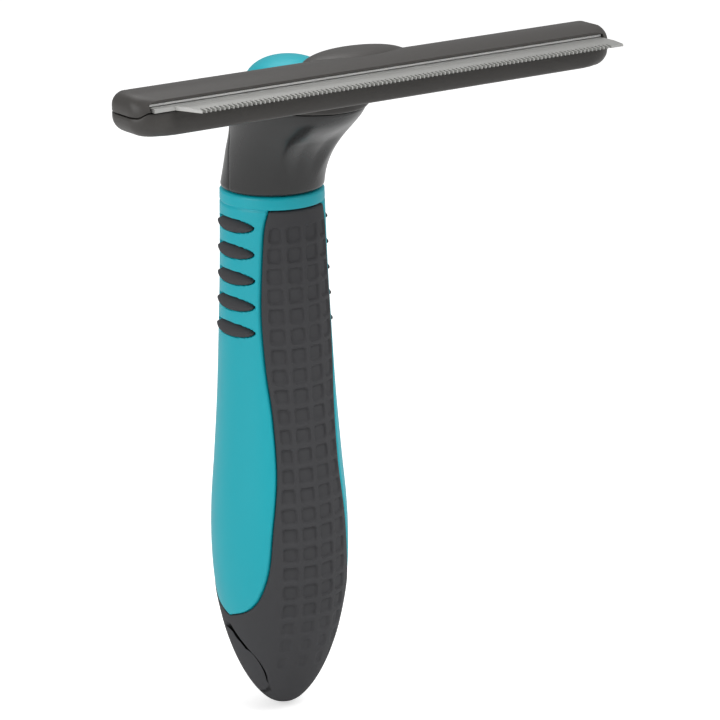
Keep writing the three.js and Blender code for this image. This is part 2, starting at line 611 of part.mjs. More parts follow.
function dome(inset) {
  const geometry = new THREE.SphereGeometry(1, 28, 14);
  geometry.rotateX(Math.PI / 2);
  geometry.scale(BUTTON_HALF_WIDTH - inset, BUTTON_HALF_DEPTH - inset, BUTTON_RISE - inset);
  geometry.translate(0, y(BUTTON_CENTRE), DECK_TOP + GAP);
  return solid(geometry).intersect(box(-30, 30, -60, 30, DECK_TOP + GAP, DECK_TOP + 30));
}

function ejectButton() {
  const railTop = SLIDE_BOTTOM + SLIDE_THICK + GAP;
  const notch = box(-CHANNEL_HALF, CHANNEL_HALF, y(BUTTON_CENTRE - BUTTON_HALF_DEPTH - 1),
    y(BUTTON_CENTRE), DECK_TOP, railTop);
  let button = dome(0).subtract(dome(BUTTON_WALL)).subtract(notch);
  for (const side of [-1, 1]) {
    const edges = [side * (RAIL_INNER + 0.2), side * RAIL_OUTER].sort((a, b) => a - b);
    const foot = box(edges[0], edges[1], y(BUTTON_CENTRE - 2), y(BUTTON_CENTRE + 2),
      railTop, DECK_TOP + BUTTON_RISE);
    button = button.add(foot.intersect(dome(0.4)));
  }
  return button;
}

function returnSpring() {
  const from = y(POST_FRONT + POST_THICK) + GAP;
  const to = y(LUG_FRONT) - GAP;
  return rod('y', [0, 0, ROD_Z], from, to, SPRING_RADIUS, 16)
    .subtract(rod('y', [0, 0, ROD_Z], from - 1, to + 1, ROD_RADIUS + GAP, 12));
}

function springRod() {
  return rod('y', [0, 0, ROD_Z], y(POST_FRONT - 0.4), y(LUG_FRONT + LUG_THICK), ROD_RADIUS, 12);
}

// ---------- assembly ----------
const LOOKS = {
  teal: [0x00b4c4, 0.35, 0],
  rubber: [0x3f3f41, 0.8, 0],
  black: [0x262626, 0.25, 0],
  bar: [0x45423f, 0.4, 0],
  steel: [0xb9b9b4, 0.3, 1],
};

const model = new THREE.Group();
model.name = 'grooming_comb';

function put(name, manifold, look) {
  const [color, roughness, metalness] = LOOKS[look];
  const material = new THREE.MeshStandardMaterial({ color, roughness, metalness });
  const mesh = new THREE.Mesh(geometryOf(manifold), material);
  mesh.name = name;
  model.add(mesh);
}

put('handle_core', handleCore(), 'teal');
put('soft_grip', softGrip(), 'rubber');
for (const { side, k, name } of ribPlaces) {
  put(name, ribForm(side, k, 0).subtract(bandWindow(GAP)), 'rubber');
}
put('neck_front_shell', neckShell(true), 'black');
put('neck_rear_shell', neckShell(false), 'black');
DECK_SCREW_X.forEach((x, i) => put(`deck_screw_${i + 1}`, deckScrew(x), 'steel'));
NECK_SCREW_HEIGHTS.forEach((z, i) => put(`neck_screw_${i + 1}`, neckScrew(z), 'steel'));
put('head_lower_shell', lowerShell(), 'bar');
put('head_upper_shell', upperShell(), 'bar');
HEAD_SCREW_X.forEach((x, i) => put(`head_screw_${i + 1}`, headScrew(x), 'steel'));
put('comb_blade', combBlade(), 'steel');
BLADE_SCREW_X.forEach((x, i) => put(`blade_screw_${i + 1}`, bladeScrew(x), 'steel'));
put('ejector_plate', ejectorPlate(), 'steel');
put('ejector_slider', ejectorSlider(), 'black');
RIVET_X.forEach((x, i) => put(`ejector_rivet_${i + 1}`, ejectorRivet(x), 'steel'));
put('eject_button', ejectButton(), 'teal');
put('return_spring', returnSpring(), 'steel');
put('spring_rod', springRod(), 'steel');

// The origin is the middle of the footprint, at the end of the handle.
const reach = new THREE.Box3().setFromObject(model);
model.position.y = -(reach.min.y + reach.max.y) / 2;

export default model;
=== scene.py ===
"""Undercoat grooming comb with a hair ejector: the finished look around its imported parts."""
import math

import bmesh
import bpy
from mathutils import Matrix, Vector


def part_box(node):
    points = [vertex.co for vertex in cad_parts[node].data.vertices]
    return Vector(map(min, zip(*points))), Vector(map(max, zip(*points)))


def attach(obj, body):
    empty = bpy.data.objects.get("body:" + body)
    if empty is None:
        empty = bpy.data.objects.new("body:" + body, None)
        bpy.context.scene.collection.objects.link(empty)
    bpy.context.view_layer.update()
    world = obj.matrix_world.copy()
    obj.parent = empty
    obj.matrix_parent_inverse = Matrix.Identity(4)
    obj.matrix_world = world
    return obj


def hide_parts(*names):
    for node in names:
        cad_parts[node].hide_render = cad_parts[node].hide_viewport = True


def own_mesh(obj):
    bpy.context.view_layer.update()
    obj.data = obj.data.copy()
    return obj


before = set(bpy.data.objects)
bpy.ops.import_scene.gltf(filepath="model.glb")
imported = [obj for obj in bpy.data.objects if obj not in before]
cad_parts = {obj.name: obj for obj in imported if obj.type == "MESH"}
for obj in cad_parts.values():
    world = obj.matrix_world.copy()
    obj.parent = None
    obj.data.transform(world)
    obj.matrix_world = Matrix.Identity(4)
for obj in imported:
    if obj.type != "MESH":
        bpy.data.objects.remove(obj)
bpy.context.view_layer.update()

bl_info = {
    "name": "Grooming Comb",
    "version": (1, 0, 0),
    "blender": (4, 5, 0),
    "location": "View3D > Sidebar > Comb",
    "description": "Builds the finished grooming comb around its packed parts",
    "category": "Object",
}

MM = 0.001
GAP = 0.3                         # clearance between neighbouring pieces

# ---------- places and sizes, in millimetres ----------
BLADE_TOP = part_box("comb_blade")[1].z / MM
TIPS_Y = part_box("comb_blade")[0].y / MM
AXIS_Y = (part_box("handle_core")[0].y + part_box("handle_core")[1].y) / 2 / MM
HANDLE_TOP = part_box("neck_front_shell")[0].z / MM - GAP
GRIP_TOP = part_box("soft_grip")[1].z / MM
NECK_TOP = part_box("neck_front_shell")[1].z / MM
DEPTH_RATIO = 1.03
CAP_TOP = 23.0

HALF_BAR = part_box("head_lower_shell")[1].x / MM
BAR_FRONT = 6.0
BAR_BACK = 19.0
BAR_BOTTOM = BLADE_TOP - 5.8
BLADE_SEAT = BLADE_TOP - 1.1
COVER_BOTTOM = BLADE_TOP - 0.8
DECK_TOP = BLADE_TOP - 9.0
DECK_THICK = 2.0
DECK_CENTRE = 38.7                # behind the tips
DECK_HALF = (13.2, 17.5)          # half width and half depth
HOOD_CENTRE = 17.4
HOOD_HALF = (13.0, 6.9)
NECK_WALL = 2.0
GRIP_WALL = 1.7
BUTTON_WALL = 1.1
CHANNEL_HALF = 3.9                # the slider's way
CHANNEL_BACK = 22.9

HANDLE_PROFILE = [
    (1.0, 10.9), (0.82, 11.3), (0.67, 11.9), (0.52, 12.6), (0.373, 13.6), (0.256, 14.5),
    (0.16, 14.7), (0.075, 14.3), (0.0, 13.3),
]
CAP_PROFILE = [(16.0, 11.7), (9.0, 9.0), (4.0, 6.0), (1.2, 3.2), (0.0, 0.0)]
BAND_PROFILE = [
    (0.928, 43), (0.853, 46), (0.736, 48), (0.608, 44), (0.501, 38), (0.363, 35),
    (0.224, 39.5), (0.139, 43), (0.075, 51),
]

RIB_TOP = HANDLE_TOP - 6.7
RIB_PITCH = 5.6
RIB_COUNT = 5
RIB_HALF_ANGLE = 34.0
RIB_HALF_HEIGHT = 1.25

DENT_ROW_PITCH = 4.33
DENT_FIRST_ROW = 108.8
DENT_LAST_ROW = 13.0
INNER_DENT = (0.53, 3.77)         # arc from the front line, inner and outer edge
OUTER_DENT = (4.83, 8.07)
DENT_DIVIDE = 4.3
DENT_MARGIN = 1.1                 # plain rubber between a dent and the band's edge
DENT_HALF = 1.62

HOLE_RADIUS = 5.2
HOLE_CENTRE_Z = 11.2
HOLE_CENTRE_Y = AXIS_Y + 1.3
HOLE_TIP_Z = 20.5


# ---------- small shared tools ----------
def smoothstep(low, high, value):
    """0 below low, 1 above high, and a soft rise between."""
    t = min(max((value - low) / (high - low), 0.0), 1.0)
    return t * t * (3 - 2 * t)


def behind(distance):
    """Y of a place so many millimetres behind the tooth tips."""
    return TIPS_Y + distance


def curve_through(points, steps=14):
    """Centripetal Catmull-Rom curve through (height, value) points, as a dense list."""
    knots = [Vector((v, z)) for z, v in points]
    knots = [2 * knots[0] - knots[1]] + knots + [2 * knots[-1] - knots[-2]]
    dense = []
    for k in range(1, len(knots) - 2):
        p0, p1, p2, p3 = knots[k - 1:k + 3]
        t1 = (p1 - p0).length ** 0.5
        t2 = t1 + (p2 - p1).length ** 0.5
        t3 = t2 + (p3 - p2).length ** 0.5
        for i in range(steps):
            t = t1 + (t2 - t1) * i / steps
            a1 = p0.lerp(p1, t / t1)
            a2 = p1.lerp(p2, (t - t1) / (t2 - t1))
            a3 = p2.lerp(p3, (t - t2) / (t3 - t2))
            b1 = a1.lerp(a2, t / t2)
            b2 = a2.lerp(a3, (t - t1) / (t3 - t1))
            dense.append(b1.lerp(b2, (t - t1) / (t2 - t1)))
    dense.append(knots[-2])
    return [(p.y, p.x) for p in dense]


def share_height(share):
    """Height at a share of the way from the end cap to the handle's top."""
    return CAP_TOP + share * (HANDLE_TOP - CAP_TOP)


HANDLE_LINE = curve_through([(share_height(s), r) for s, r in HANDLE_PROFILE] + CAP_PROFILE)
BAND_LINE = curve_through(
    [(GRIP_TOP, 38)] + [(share_height(s), a) for s, a in BAND_PROFILE]
    + [(CAP_TOP + 3.5, 62), (CAP_TOP + 0.5, 88)])


def read_line(line, z, above, below):
    """Value at a height of a line listed from top to bottom."""
    if z >= line[0][0]:
        return above
    for (z0, v0), (z1, v1) in zip(line, line[1:]):
        if z0 >= z >= z1:
            return v0 + (v1 - v0) * (z0 - z) / max(z0 - z1, 1e-9)
    return below


def handle_radius(z):
    return max(read_line(HANDLE_LINE, z, HANDLE_LINE[0][1], 0.0), 0.0)


def band_angle(z):
    return min(read_line(BAND_LINE, z, BAND_LINE[0][1], 90.0), 90.0)


def on_handle(angle, z, lift=0.0):
    """Point on the handle at an angle in degrees from straight ahead, lifted off its surface."""
    a = math.radians(angle)
    r = max(handle_radius(z) + lift, 0.0)
    return Vector((r * math.sin(a), AXIS_Y - r * DEPTH_RATIO * math.cos(a), z))


def finish_object(name, mesh, node, body, material):
    """Makes the object of a mesh in millimetres, and lets it stand for its CAD node."""
    mesh.transform(Matrix.Scale(MM, 4))
    obj = bpy.data.objects.new(name, mesh)
    bpy.context.scene.collection.objects.link(obj)
    mesh.materials.append(material)
    for polygon in mesh.polygons:
        polygon.use_smooth = True
        polygon.material_index = 0
    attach(obj, body)
    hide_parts(node)
    return obj


def mesh_from(name, points, faces):
    mesh = bpy.data.meshes.new(name)
    mesh.from_pydata([tuple(p) for p in points], [], faces)
    tidy_mesh(mesh)
    return mesh


def tidy_mesh(mesh, gap=1e-4):
    """Joins coincident points, drops flat faces and turns all faces outwards."""
    work = bmesh.new()
    work.from_mesh(mesh)
    bmesh.ops.remove_doubles(work, verts=work.verts, dist=gap)
    bmesh.ops.dissolve_degenerate(work, edges=work.edges, dist=gap)
    bmesh.ops.recalc_face_normals(work, faces=work.faces)
    work.to_mesh(mesh)
    work.free()
    mesh.update()


def grid_faces(rows, columns, closed_columns=False, start=0):
    """Quads of a grid of points laid out row by row."""
    faces = []
    last_column = columns if closed_columns else columns - 1
    for r in range(rows - 1):
        for c in range(last_column):
            a = r * columns + c
            b = r * columns + (c + 1) % columns
            d = (r + 1) * columns
            faces.append((start + a, start + b, start + d + (c + 1) % columns, start + d + c))
    return faces


def closed_tube(name, rings):
    """Closed solid through rings of equal length, capped at both ends."""
    points = [p for ring in rings for p in ring]
    count = len(rings[0])
    faces = grid_faces(len(rings), count, closed_columns=True)
    faces.append(tuple(range(count))[::-1])
    faces.append(tuple(range(len(points) - count, len(points))))
    return mesh_from(name, points, faces)


def boolean(mesh, other, operation):
    """Cuts or joins two closed meshes and returns the result as a new mesh."""
    base = bpy.data.objects.new("work_base", mesh)
    tool = bpy.data.objects.new("work_tool", other)
    for obj in (base, tool):
        bpy.context.scene.collection.objects.link(obj)
    modifier = base.modifiers.new("cut", "BOOLEAN")
    modifier.operation = operation
    modifier.solver = "MANIFOLD"
    modifier.object = tool
    graph = bpy.context.evaluated_depsgraph_get()
    made = bpy.data.meshes.new_from_object(base.evaluated_get(graph))
    for obj in (base, tool):
        bpy.data.objects.remove(obj)
    if not made.polygons:
        raise RuntimeError(f"{operation.lower()} of {mesh.name} and {other.name} left nothing")
    made.materials.clear()
    return made


def block(x0, x1, y0, y1, z0, z1, rounding=0.0, segments=3):
    """Block between two corners with rounded edges."""
    work = bmesh.new()
    bmesh.ops.create_cube(work, size=1.0)
    for v in work.verts:
        v.co = Vector(((x0 + x1) / 2 + v.co.x * (x1 - x0), (y0 + y1) / 2 + v.co.y * (y1 - y0),
                       (z0 + z1) / 2 + v.co.z * (z1 - z0)))
    if rounding:
        bmesh.ops.bevel(work, geom=work.edges, offset=rounding, segments=segments,
                        affect="EDGES", profile=0.5)
    mesh = bpy.data.meshes.new("block")
    work.to_mesh(mesh)
    work.free()
    return mesh


def lathe(profile, centre, axis="z", steps=40):
    """Solid of revolution from (radius, height) points, about an axis through a centre."""
    rings = []
    for radius, height in profile:
        ring = []
        for i in range(steps):
            a = 2 * math.pi * i / steps
            u, v = radius * math.cos(a), radius * math.sin(a)
            ring.append(Vector((u, v, height)) if axis == "z" else Vector((u, height, -v)))
        rings.append([p + Vector(centre) for p in ring])
    return closed_tube("lathe", rings)


# ---------- finishes ----------
def to_linear(colour):
    """Display colour, 0 to 255, as linear light."""
    made = []
    for channel in colour:
        c = channel / 255
        made.append(c / 12.92 if c <= 0.04045 else ((c + 0.055) / 1.055) ** 2.4)
    return (*made, 1.0)


class Finish:
    """A material built from nodes, with short ways to add grain, wear and bump."""

    def __init__(self, name, metallic=0.0, coat=0.0, coat_roughness=0.1, ior=1.5, anisotropic=0.0):
        self.material = bpy.data.materials.new(name)
        self.material.use_nodes = True
        self.tree = self.material.node_tree
        self.shader = self.tree.nodes["Principled BSDF"]
        self.shader.inputs["Metallic"].default_value = metallic
        self.shader.inputs["Coat Weight"].default_value = coat
        self.shader.inputs["Coat Roughness"].default_value = coat_roughness
        self.shader.inputs["IOR"].default_value = ior
        self.shader.inputs["Anisotropic"].default_value = anisotropic
        self.place = self.node("ShaderNodeTexCoord").outputs["Object"]
        self.bump_out = None

    def node(self, kind, **settings):
        made = self.tree.nodes.new(kind)
        for key, value in settings.items():
            setattr(made, key, value)
        return made

    def link(self, source, target):
        self.tree.links.new(source, target)

    def stretched(self, scale):
        mapping = self.node("ShaderNodeMapping")
        mapping.inputs["Scale"].default_value = scale
        self.link(self.place, mapping.inputs["Vector"])
        return mapping.outputs["Vector"]

    def grain(self, scale, detail=4.0, rough=0.6, stretch=None):
        made = self.node("ShaderNodeTexNoise")
        made.inputs["Scale"].default_value = scale
        made.inputs["Detail"].default_value = detail
        made.inputs["Roughness"].default_value = rough
        self.link(self.stretched(stretch) if stretch else self.place, made.inputs["Vector"])
        return made.outputs["Fac"]

    def cells(self, scale, stretch=None):
        made = self.node("ShaderNodeTexVoronoi")
        made.inputs["Scale"].default_value = scale
        self.link(self.stretched(stretch) if stretch else self.place, made.inputs["Vector"])
        return made.outputs["Distance"]

    def spread(self, source, low, high, from_low=0.3, from_high=0.7):
        made = self.node("ShaderNodeMapRange")
        made.inputs["From Min"].default_value = from_low
        made.inputs["From Max"].default_value = from_high
        made.inputs["To Min"].default_value = low
        made.inputs["To Max"].default_value = high
        self.link(source, made.inputs["Value"])
        return made.outputs["Result"]

    def mix(self, amount, first, second):
        """Blend of two colours; each is a display colour or another node's output."""
        made = self.node("ShaderNodeMix", data_type="RGBA")
        self.link(amount, made.inputs["Factor"])
        for socket, value in ((made.inputs["A"], first), (made.inputs["B"], second)):
            if isinstance(value, tuple):
                socket.default_value = to_linear(value)
            else:
                self.link(value, socket)
        return made.outputs["Result"]

    def along_y(self, low, high):
        """0 in front of a place in depth, 1 behind another, in metres."""
        parts = self.node("ShaderNodeSeparateXYZ")
        self.link(self.place, parts.inputs["Vector"])
        return self.spread(parts.outputs["Y"], 0, 1, low, high)

    def edges(self, low=0.515, high=0.6):
        """Painted highlight on edges: 1 where the surface is sharply convex."""
        return self.spread(self.node("ShaderNodeNewGeometry").outputs["Pointiness"], 0, 1, low, high)

    def hollow_shade(self, low=0.4, high=0.49):
        """Painted shade in the corners: 1 where the surface is sharply concave."""
        return self.spread(self.node("ShaderNodeNewGeometry").outputs["Pointiness"], 1, 0, low, high)

    def bump(self, height, strength, distance):
        made = self.node("ShaderNodeBump")
        made.inputs["Strength"].default_value = strength
        made.inputs["Distance"].default_value = distance
        self.link(height, made.inputs["Height"])
        if self.bump_out is not None:
            self.link(self.bump_out, made.inputs["Normal"])
        self.bump_out = made.outputs["Normal"]
        self.link(self.bump_out, self.shader.inputs["Normal"])

    def colour(self, output):
        self.link(output, self.shader.inputs["Base Color"])

    def roughness(self, output):
        self.link(output, self.shader.inputs["Roughness"])


def rgb(colour):
    """A colour property, 0 to 1, as a display colour."""
    return tuple(round(255 * c, 3) for c in colour)


def shade(colour, factor):
    return tuple(min(255.0, c * factor) for c in colour)


def teal_plastic(colour, roughness):
    finish = Finish("teal_plastic", coat=0.06, coat_roughness=0.18)
    cloud = finish.spread(finish.grain(38, 3), 0, 1)
    body = finish.mix(cloud, shade(colour, 0.965), shade(colour, 1.03))
    # painted highlight: sharp convex edges coloured lighter teal
    with_edge_highlight = finish.mix(finish.edges(0.53, 0.66), body, shade(colour, 1.18))
    # painted shade: concave corners coloured darker teal
    finish.colour(finish.mix(finish.hollow_shade(0.36, 0.47), with_edge_highlight, shade(colour, 0.62)))
    fine = finish.grain(900, 2)
    finish.roughness(finish.spread(fine, roughness - 0.05, roughness + 0.08))
    finish.bump(finish.grain(2600, 2), 0.10, 0.00006)
    finish.bump(finish.grain(260, 2), 0.10, 0.00016)
    return finish.material


def dark_rubber(colour, roughness):
    finish = Finish("dark_rubber", ior=1.45)
    cloud = finish.spread(finish.grain(60, 4), 0, 1)
    body = finish.mix(cloud, shade(colour, 0.9), shade(colour, 1.08))
    # painted highlight: sharp convex edges coloured lighter
    with_edge_light = finish.mix(finish.edges(0.52, 0.62), body, shade(colour, 1.5))
    # painted shade: concave corners and dent walls coloured darker
    finish.colour(finish.mix(finish.hollow_shade(0.38, 0.48), with_edge_light, shade(colour, 0.55)))
    finish.roughness(finish.spread(finish.grain(700, 3), roughness - 0.09, roughness + 0.08))
    finish.bump(finish.cells(2600), 0.22, 0.00005)
    finish.bump(finish.grain(1300, 3), 0.28, 0.00008)
    finish.shader.inputs["Sheen Weight"].default_value = 0.06
    finish.shader.inputs["Sheen Roughness"].default_value = 0.5
    return finish.material


def black_plastic(colour, roughness):
    finish = Finish("black_plastic", coat=0.25, coat_roughness=0.12)
    cloud = finish.spread(finish.grain(30, 3), 0, 1)
    body = finish.mix(cloud, shade(colour, 0.9), shade(colour, 1.1))
    # painted highlight: sharp convex edges coloured much lighter
    finish.colour(finish.mix(finish.edges(0.54, 0.7), body, shade(colour, 1.9)))
    finish.roughness(finish.spread(finish.grain(420, 3), roughness - 0.05, roughness + 0.07))
    finish.bump(finish.grain(190, 2), 0.10, 0.00020)
    finish.bump(finish.grain(2400, 2), 0.05, 0.00005)
    return finish.material


def head_plastic(colour, roughness):
    """Satin plastic with faint flow lines along the bar."""
    finish = Finish("head_plastic", coat=0.2, coat_roughness=0.2)
    streak = finish.spread(finish.grain(90, 5, stretch=(0.12, 1.0, 1.6)), 0, 1)
    body = finish.mix(streak, shade(colour, 0.86), shade(colour, 1.12))
    # painted highlight: sharp convex edges coloured lighter
    finish.colour(finish.mix(finish.edges(0.535, 0.68), body, shade(colour, 1.7)))
    finish.roughness(finish.spread(finish.grain(600, 3, stretch=(0.2, 1.0, 1.0)),
                                   roughness - 0.07, roughness + 0.09))
    finish.bump(finish.grain(1100, 3, stretch=(0.25, 1.0, 1.0)), 0.12, 0.00006)
    finish.bump(finish.grain(140, 2), 0.10, 0.00025)
    return finish.material


TIP_GLINT_LENGTH = 0.6   # length of the teeth from the tips painted lighter: a painted highlight


def ground_steel(colour, roughness):
    """Steel ground across its length, with fine scratches from front to back, and a painted highlight along
    the tooth tips.
    """
    finish = Finish("ground_steel", metallic=1.0, anisotropic=0.35)
    brushed = finish.grain(2600, 4, stretch=(1.0, 0.06, 0.3))
    cloud = finish.grain(45, 3)
    flat = finish.mix(finish.spread(brushed, 0, 1), shade(colour, 0.7), shade(colour, 0.92))
    behind_tip_glint = finish.along_y(behind(TIP_GLINT_LENGTH) * MM, behind(TIP_GLINT_LENGTH + 0.6) * MM)
    # painted highlight: the tooth tips are coloured lighter than the rest of the blade
    body = finish.mix(behind_tip_glint, shade(colour, 1.25), flat)
    finish.colour(finish.mix(finish.spread(cloud, 0, 0.35), body, shade(colour, 0.7)))
    finish.roughness(finish.spread(brushed, roughness - 0.07, roughness + 0.12))
    finish.bump(brushed, 0.16, 0.00004)
    return finish.material


def bright_steel(colour, roughness):
    """Drawn and plated steel of the screws, rivets, spring and rod."""
    finish = Finish("bright_steel", metallic=1.0)
    turned = finish.grain(3200, 3)
    body = finish.mix(finish.spread(turned, 0, 1), shade(colour, 0.85), shade(colour, 1.05))
    # painted shade: concave places such as thread roots coloured darker
    finish.colour(finish.mix(finish.hollow_shade(0.4, 0.49), body, shade(colour, 0.45)))
    finish.roughness(finish.spread(finish.grain(900, 3), roughness - 0.05, roughness + 0.12))
    finish.bump(turned, 0.12, 0.00003)
    return finish.material


MAKERS = {
    "teal_plastic": teal_plastic,
    "dark_rubber": dark_rubber,
    "black_plastic": black_plastic,
    "head_plastic": head_plastic,
    "ground_steel": ground_steel,
    "bright_steel": bright_steel,
}


def finish_of(name):
    """The finish of that name, made once from the sidebar's settings."""
    made = bpy.data.materials.get(name)
    if made is None:
        settings = bpy.context.scene.comb_finishes
        made = MAKERS[name](rgb(getattr(settings, name)), getattr(settings, name + "_roughness"))
    return made


def dress(node, slot):
    """Gives a CAD part that keeps its shape its finish."""
    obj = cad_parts[node]
    obj.data.materials.clear()
    obj.data.materials.append(finish_of(slot))


# ---------- handle ----------
def handle_rows():
    """Heights of the handle's rows, closer together where the ribs and the ring are."""
    rows, z = [], HANDLE_TOP
    while z > CAP_TOP + 0.1:
        rows.append(z)
        fine = z > RIB_TOP - RIB_PITCH * (RIB_COUNT - 1) - 3 or z < CAP_TOP + 6
        z -= 0.22 if fine else 0.6
    rows.append(CAP_TOP + 0.1)
    return rows


def rib_half_height(u):
    """Half height of a rib at a share of its half length from the middle."""
    if abs(u) >= 1:
        return 0.0
    return RIB_HALF_HEIGHT * (1 - abs(u) ** 2.3) ** 0.6


def pocket_depth(angle, z, deep, shadow_gap):
    """How far the side panel is sunk around the ribs at a place; the gap is wider above a rib."""
    side = abs(abs(angle) - 90)
    u = side / RIB_HALF_ANGLE
    if u > 1.05:
        return 0.0
    k = round((RIB_TOP - z) / RIB_PITCH)
    if not 0 <= k < RIB_COUNT:
        return 0.0
    away = z - (RIB_TOP - k * RIB_PITCH)
    reach = rib_half_height(min(u / 1.02, 1.0))
    outside = away - reach - shadow_gap if away > 0 else -away - reach - 0.08
    return deep * (1 - smoothstep(-0.12, 0.12, outside))


def handle_body_mesh(sizes):
    """The hard inner handle: side panels and ring in view, sunk where the soft grip lies."""
    sunk = 1.9
    gap = 0.28
    panel_steps, band_steps = 96, 26
    rings = []
    for z in handle_rows():
        radius = handle_radius(z)
        degree = math.degrees(1 / max(radius, 1))
        b = band_angle(z) if z < GRIP_TOP else BAND_LINE[0][1]
        under = z < GRIP_TOP + 0.3
        top_round = 0.35 * (1 - smoothstep(0, 0.4, HANDLE_TOP - z))
        ring_edge = 0.25 * (1 - smoothstep(0, 0.35, abs(z - GRIP_TOP - 0.3)))
        first, last = b + gap * degree, 180 - b - gap * degree
        closed = last - first < 2
        ring = []
        for middle in (0, 90, 180, 270):
            panel = middle in (90, 270)
            steps = panel_steps if panel else band_steps
            low, high = (first, last) if panel else (-b, b)
            base = middle - 90 if panel else middle
            for i in range(steps):
                t = i / (steps - 1) if panel else (i + 0.5) / steps
                angle = base + low + (high - low) * t
                if panel:
                    from_edge = min(t, 1 - t) * (high - low) / degree
                    lift = -0.35 * (1 - smoothstep(0, 0.45, from_edge)) if under else 0.0
                    folded = angle if middle == 90 else angle - 180
                    lift -= pocket_depth(folded, z, 1.2, sizes.rib_gap) + ring_edge + top_round
                    if closed:
                        lift = -sunk
                else:
                    lift = -sunk if under else -top_round - ring_edge * 0.4
                ring.append(on_handle(angle, z, lift))
        rings.append(ring)
    return closed_tube("handle_body", rings)


def dent(offset, z, edge, sizes):
    """Depth of the square dents in the soft grip, at an arc offset from the front line."""
    if not DENT_LAST_ROW - 2 < z < DENT_FIRST_ROW + 2.2:
        return 0.0
    row = round((DENT_FIRST_ROW - z) / DENT_ROW_PITCH)
    centre_z = DENT_FIRST_ROW - row * DENT_ROW_PITCH
    if centre_z < DENT_LAST_ROW:
        return 0.0
    fade = 0.45 + 0.55 * smoothstep(10, 30, centre_z)
    low, high = (INNER_DENT if abs(offset) < DENT_DIVIDE
                 else (OUTER_DENT[0], min(OUTER_DENT[1], edge - DENT_MARGIN)))
    if high - low < 0.9:
        return 0.0
    half_u = (high - low) / 2 * fade
    half_z = DENT_HALF * (0.7 + 0.3 * fade)
    corner = min(0.75, half_u * 0.7)
    du = max(abs(abs(offset) - (low + high) / 2) - half_u + corner, 0)
    dz = max(abs(z - centre_z) - half_z + corner, 0)
    outside = math.hypot(du, dz) - corner
    return sizes.dent_depth * fade * (1 - smoothstep(-0.17, 0.17, outside))


def soft_grip_mesh(sizes):
    """Front and back bands and the end cap, moulded in one piece, with the hanging hole through."""
    steps = 104
    rows, z = [], GRIP_TOP
    while z > 1.0:
        rows.append(z)
        z -= 0.1 if z > GRIP_TOP - 0.6 else (0.28 if z > 10 else 0.4)
    rows += [1.0, 0.7, 0.45, 0.25, 0.12, 0.04, 0.0]
    inner_last = next(i for i, z in enumerate(rows) if z < CAP_TOP - 0.2)

    def point(z, t, back, inner):
        b = band_angle(z) if z > CAP_TOP + 0.5 else 90.0
        radius = handle_radius(z)
        angle = t * b
        arc = math.radians(abs(angle)) * radius
        edge = math.radians(b) * radius
        if inner:
            return on_handle(angle + back, z, -GRIP_WALL)
        lift = sizes.grip_proud * smoothstep(CAP_TOP - 9, CAP_TOP + 5, z)
        if b < 89.9:
            near = min(edge - arc, 0.7) / 0.7
            lift -= 0.55 * (1 - math.sqrt(max(1 - (1 - near) ** 2, 0)))
        top = min(GRIP_TOP - z, 0.5) / 0.5
        lift -= 0.5 * (1 - math.sqrt(max(1 - (1 - top) ** 2, 0)))
        lift -= dent(arc, z, edge, sizes)
        return on_handle(angle + back, z, lift)

    points, faces = [], []
    for back in (0, 180):
        outer_start = len(points)
        for z in rows:
            points += [point(z, -1 + 2 * i / (steps - 1), back, False) for i in range(steps)]
        faces += grid_faces(len(rows), steps, start=outer_start)
        inner_start = len(points)
        for z in rows[:inner_last + 1]:
            points += [point(z, -1 + 2 * i / (steps - 1), back, True) for i in range(steps)]
        faces += grid_faces(inner_last + 1, steps, start=inner_start)
        for i in range(steps - 1):
            faces.append((outer_start + i, outer_start + i + 1, inner_start + i + 1, inner_start + i))
        for r in range(inner_last):
            if rows[r] <= CAP_TOP + 0.5:
                break
            for c in (0, steps - 1):
                a, b = r * steps + c, (r + 1) * steps + c
                faces.append((outer_start + a, outer_start + b, inner_start + b, inner_start + a))
        floor_row = inner_start + inner_last * steps
        centre = len(points)
        points.append(Vector((0, AXIS_Y, rows[inner_last])))
        faces += [(floor_row + i, floor_row + i + 1, centre) for i in range(steps - 1)]
    mesh = mesh_from("soft_grip", points, faces)
    return boolean(mesh, hole_cutter(), "DIFFERENCE")


def hole_cutter():
    """Teardrop through the end cap, widening in a soft curve where it meets the outside."""
    rise = HOLE_TIP_Z - HOLE_CENTRE_Z
    touch = math.asin(HOLE_RADIUS / rise)
    steps = 48
    outline = []
    for i in range(steps):
        a = math.pi - touch + (math.pi + 2 * touch) * i / (steps - 1)
        outline.append((math.cos(a), math.sin(a), HOLE_RADIUS))
    tip_steps = 10
    start = (HOLE_RADIUS * math.cos(math.pi + math.pi + touch), HOLE_RADIUS * math.sin(touch))
    straight = []
    for i in range(1, 2 * tip_steps):
        t = i / tip_steps
        side = 1 if t < 1 else -1
        w = t if t < 1 else 2 - t
        u = start[0] * (1 - w) * side
        v = start[1] + (rise - start[1]) * w
        soft = 0.8 * smoothstep(0.8, 1.0, w)
        length = math.hypot(u, v - soft)
        straight.append((u / max(length, 1e-6), (v - soft) / max(length, 1e-6), length))
    outline += straight
    rings = []
    stations = [(-1.0, 3.4), (-0.1, 2.1), (0.45, 1.25), (1.2, 0.55), (2.2, 0.12), (3.2, 0.0)]
    path = [(1, *s) for s in stations] + [(0, 0, 0)] + [(-1, *s) for s in reversed(stations)]
    for side, depth, grow in path:
        ring = []
        for u, v, radius in outline:
            py = HOLE_CENTRE_Y + u * (radius + grow)
            pz = HOLE_CENTRE_Z + v * (radius + grow)
            surface = handle_radius(max(pz, 0.3)) ** 2 - ((py - AXIS_Y) / DEPTH_RATIO) ** 2
            px = math.sqrt(max(surface, 9.0)) - depth
            ring.append(Vector((side * px, py, pz)))
        rings.append(ring)
    return closed_tube("hanging_hole", rings)


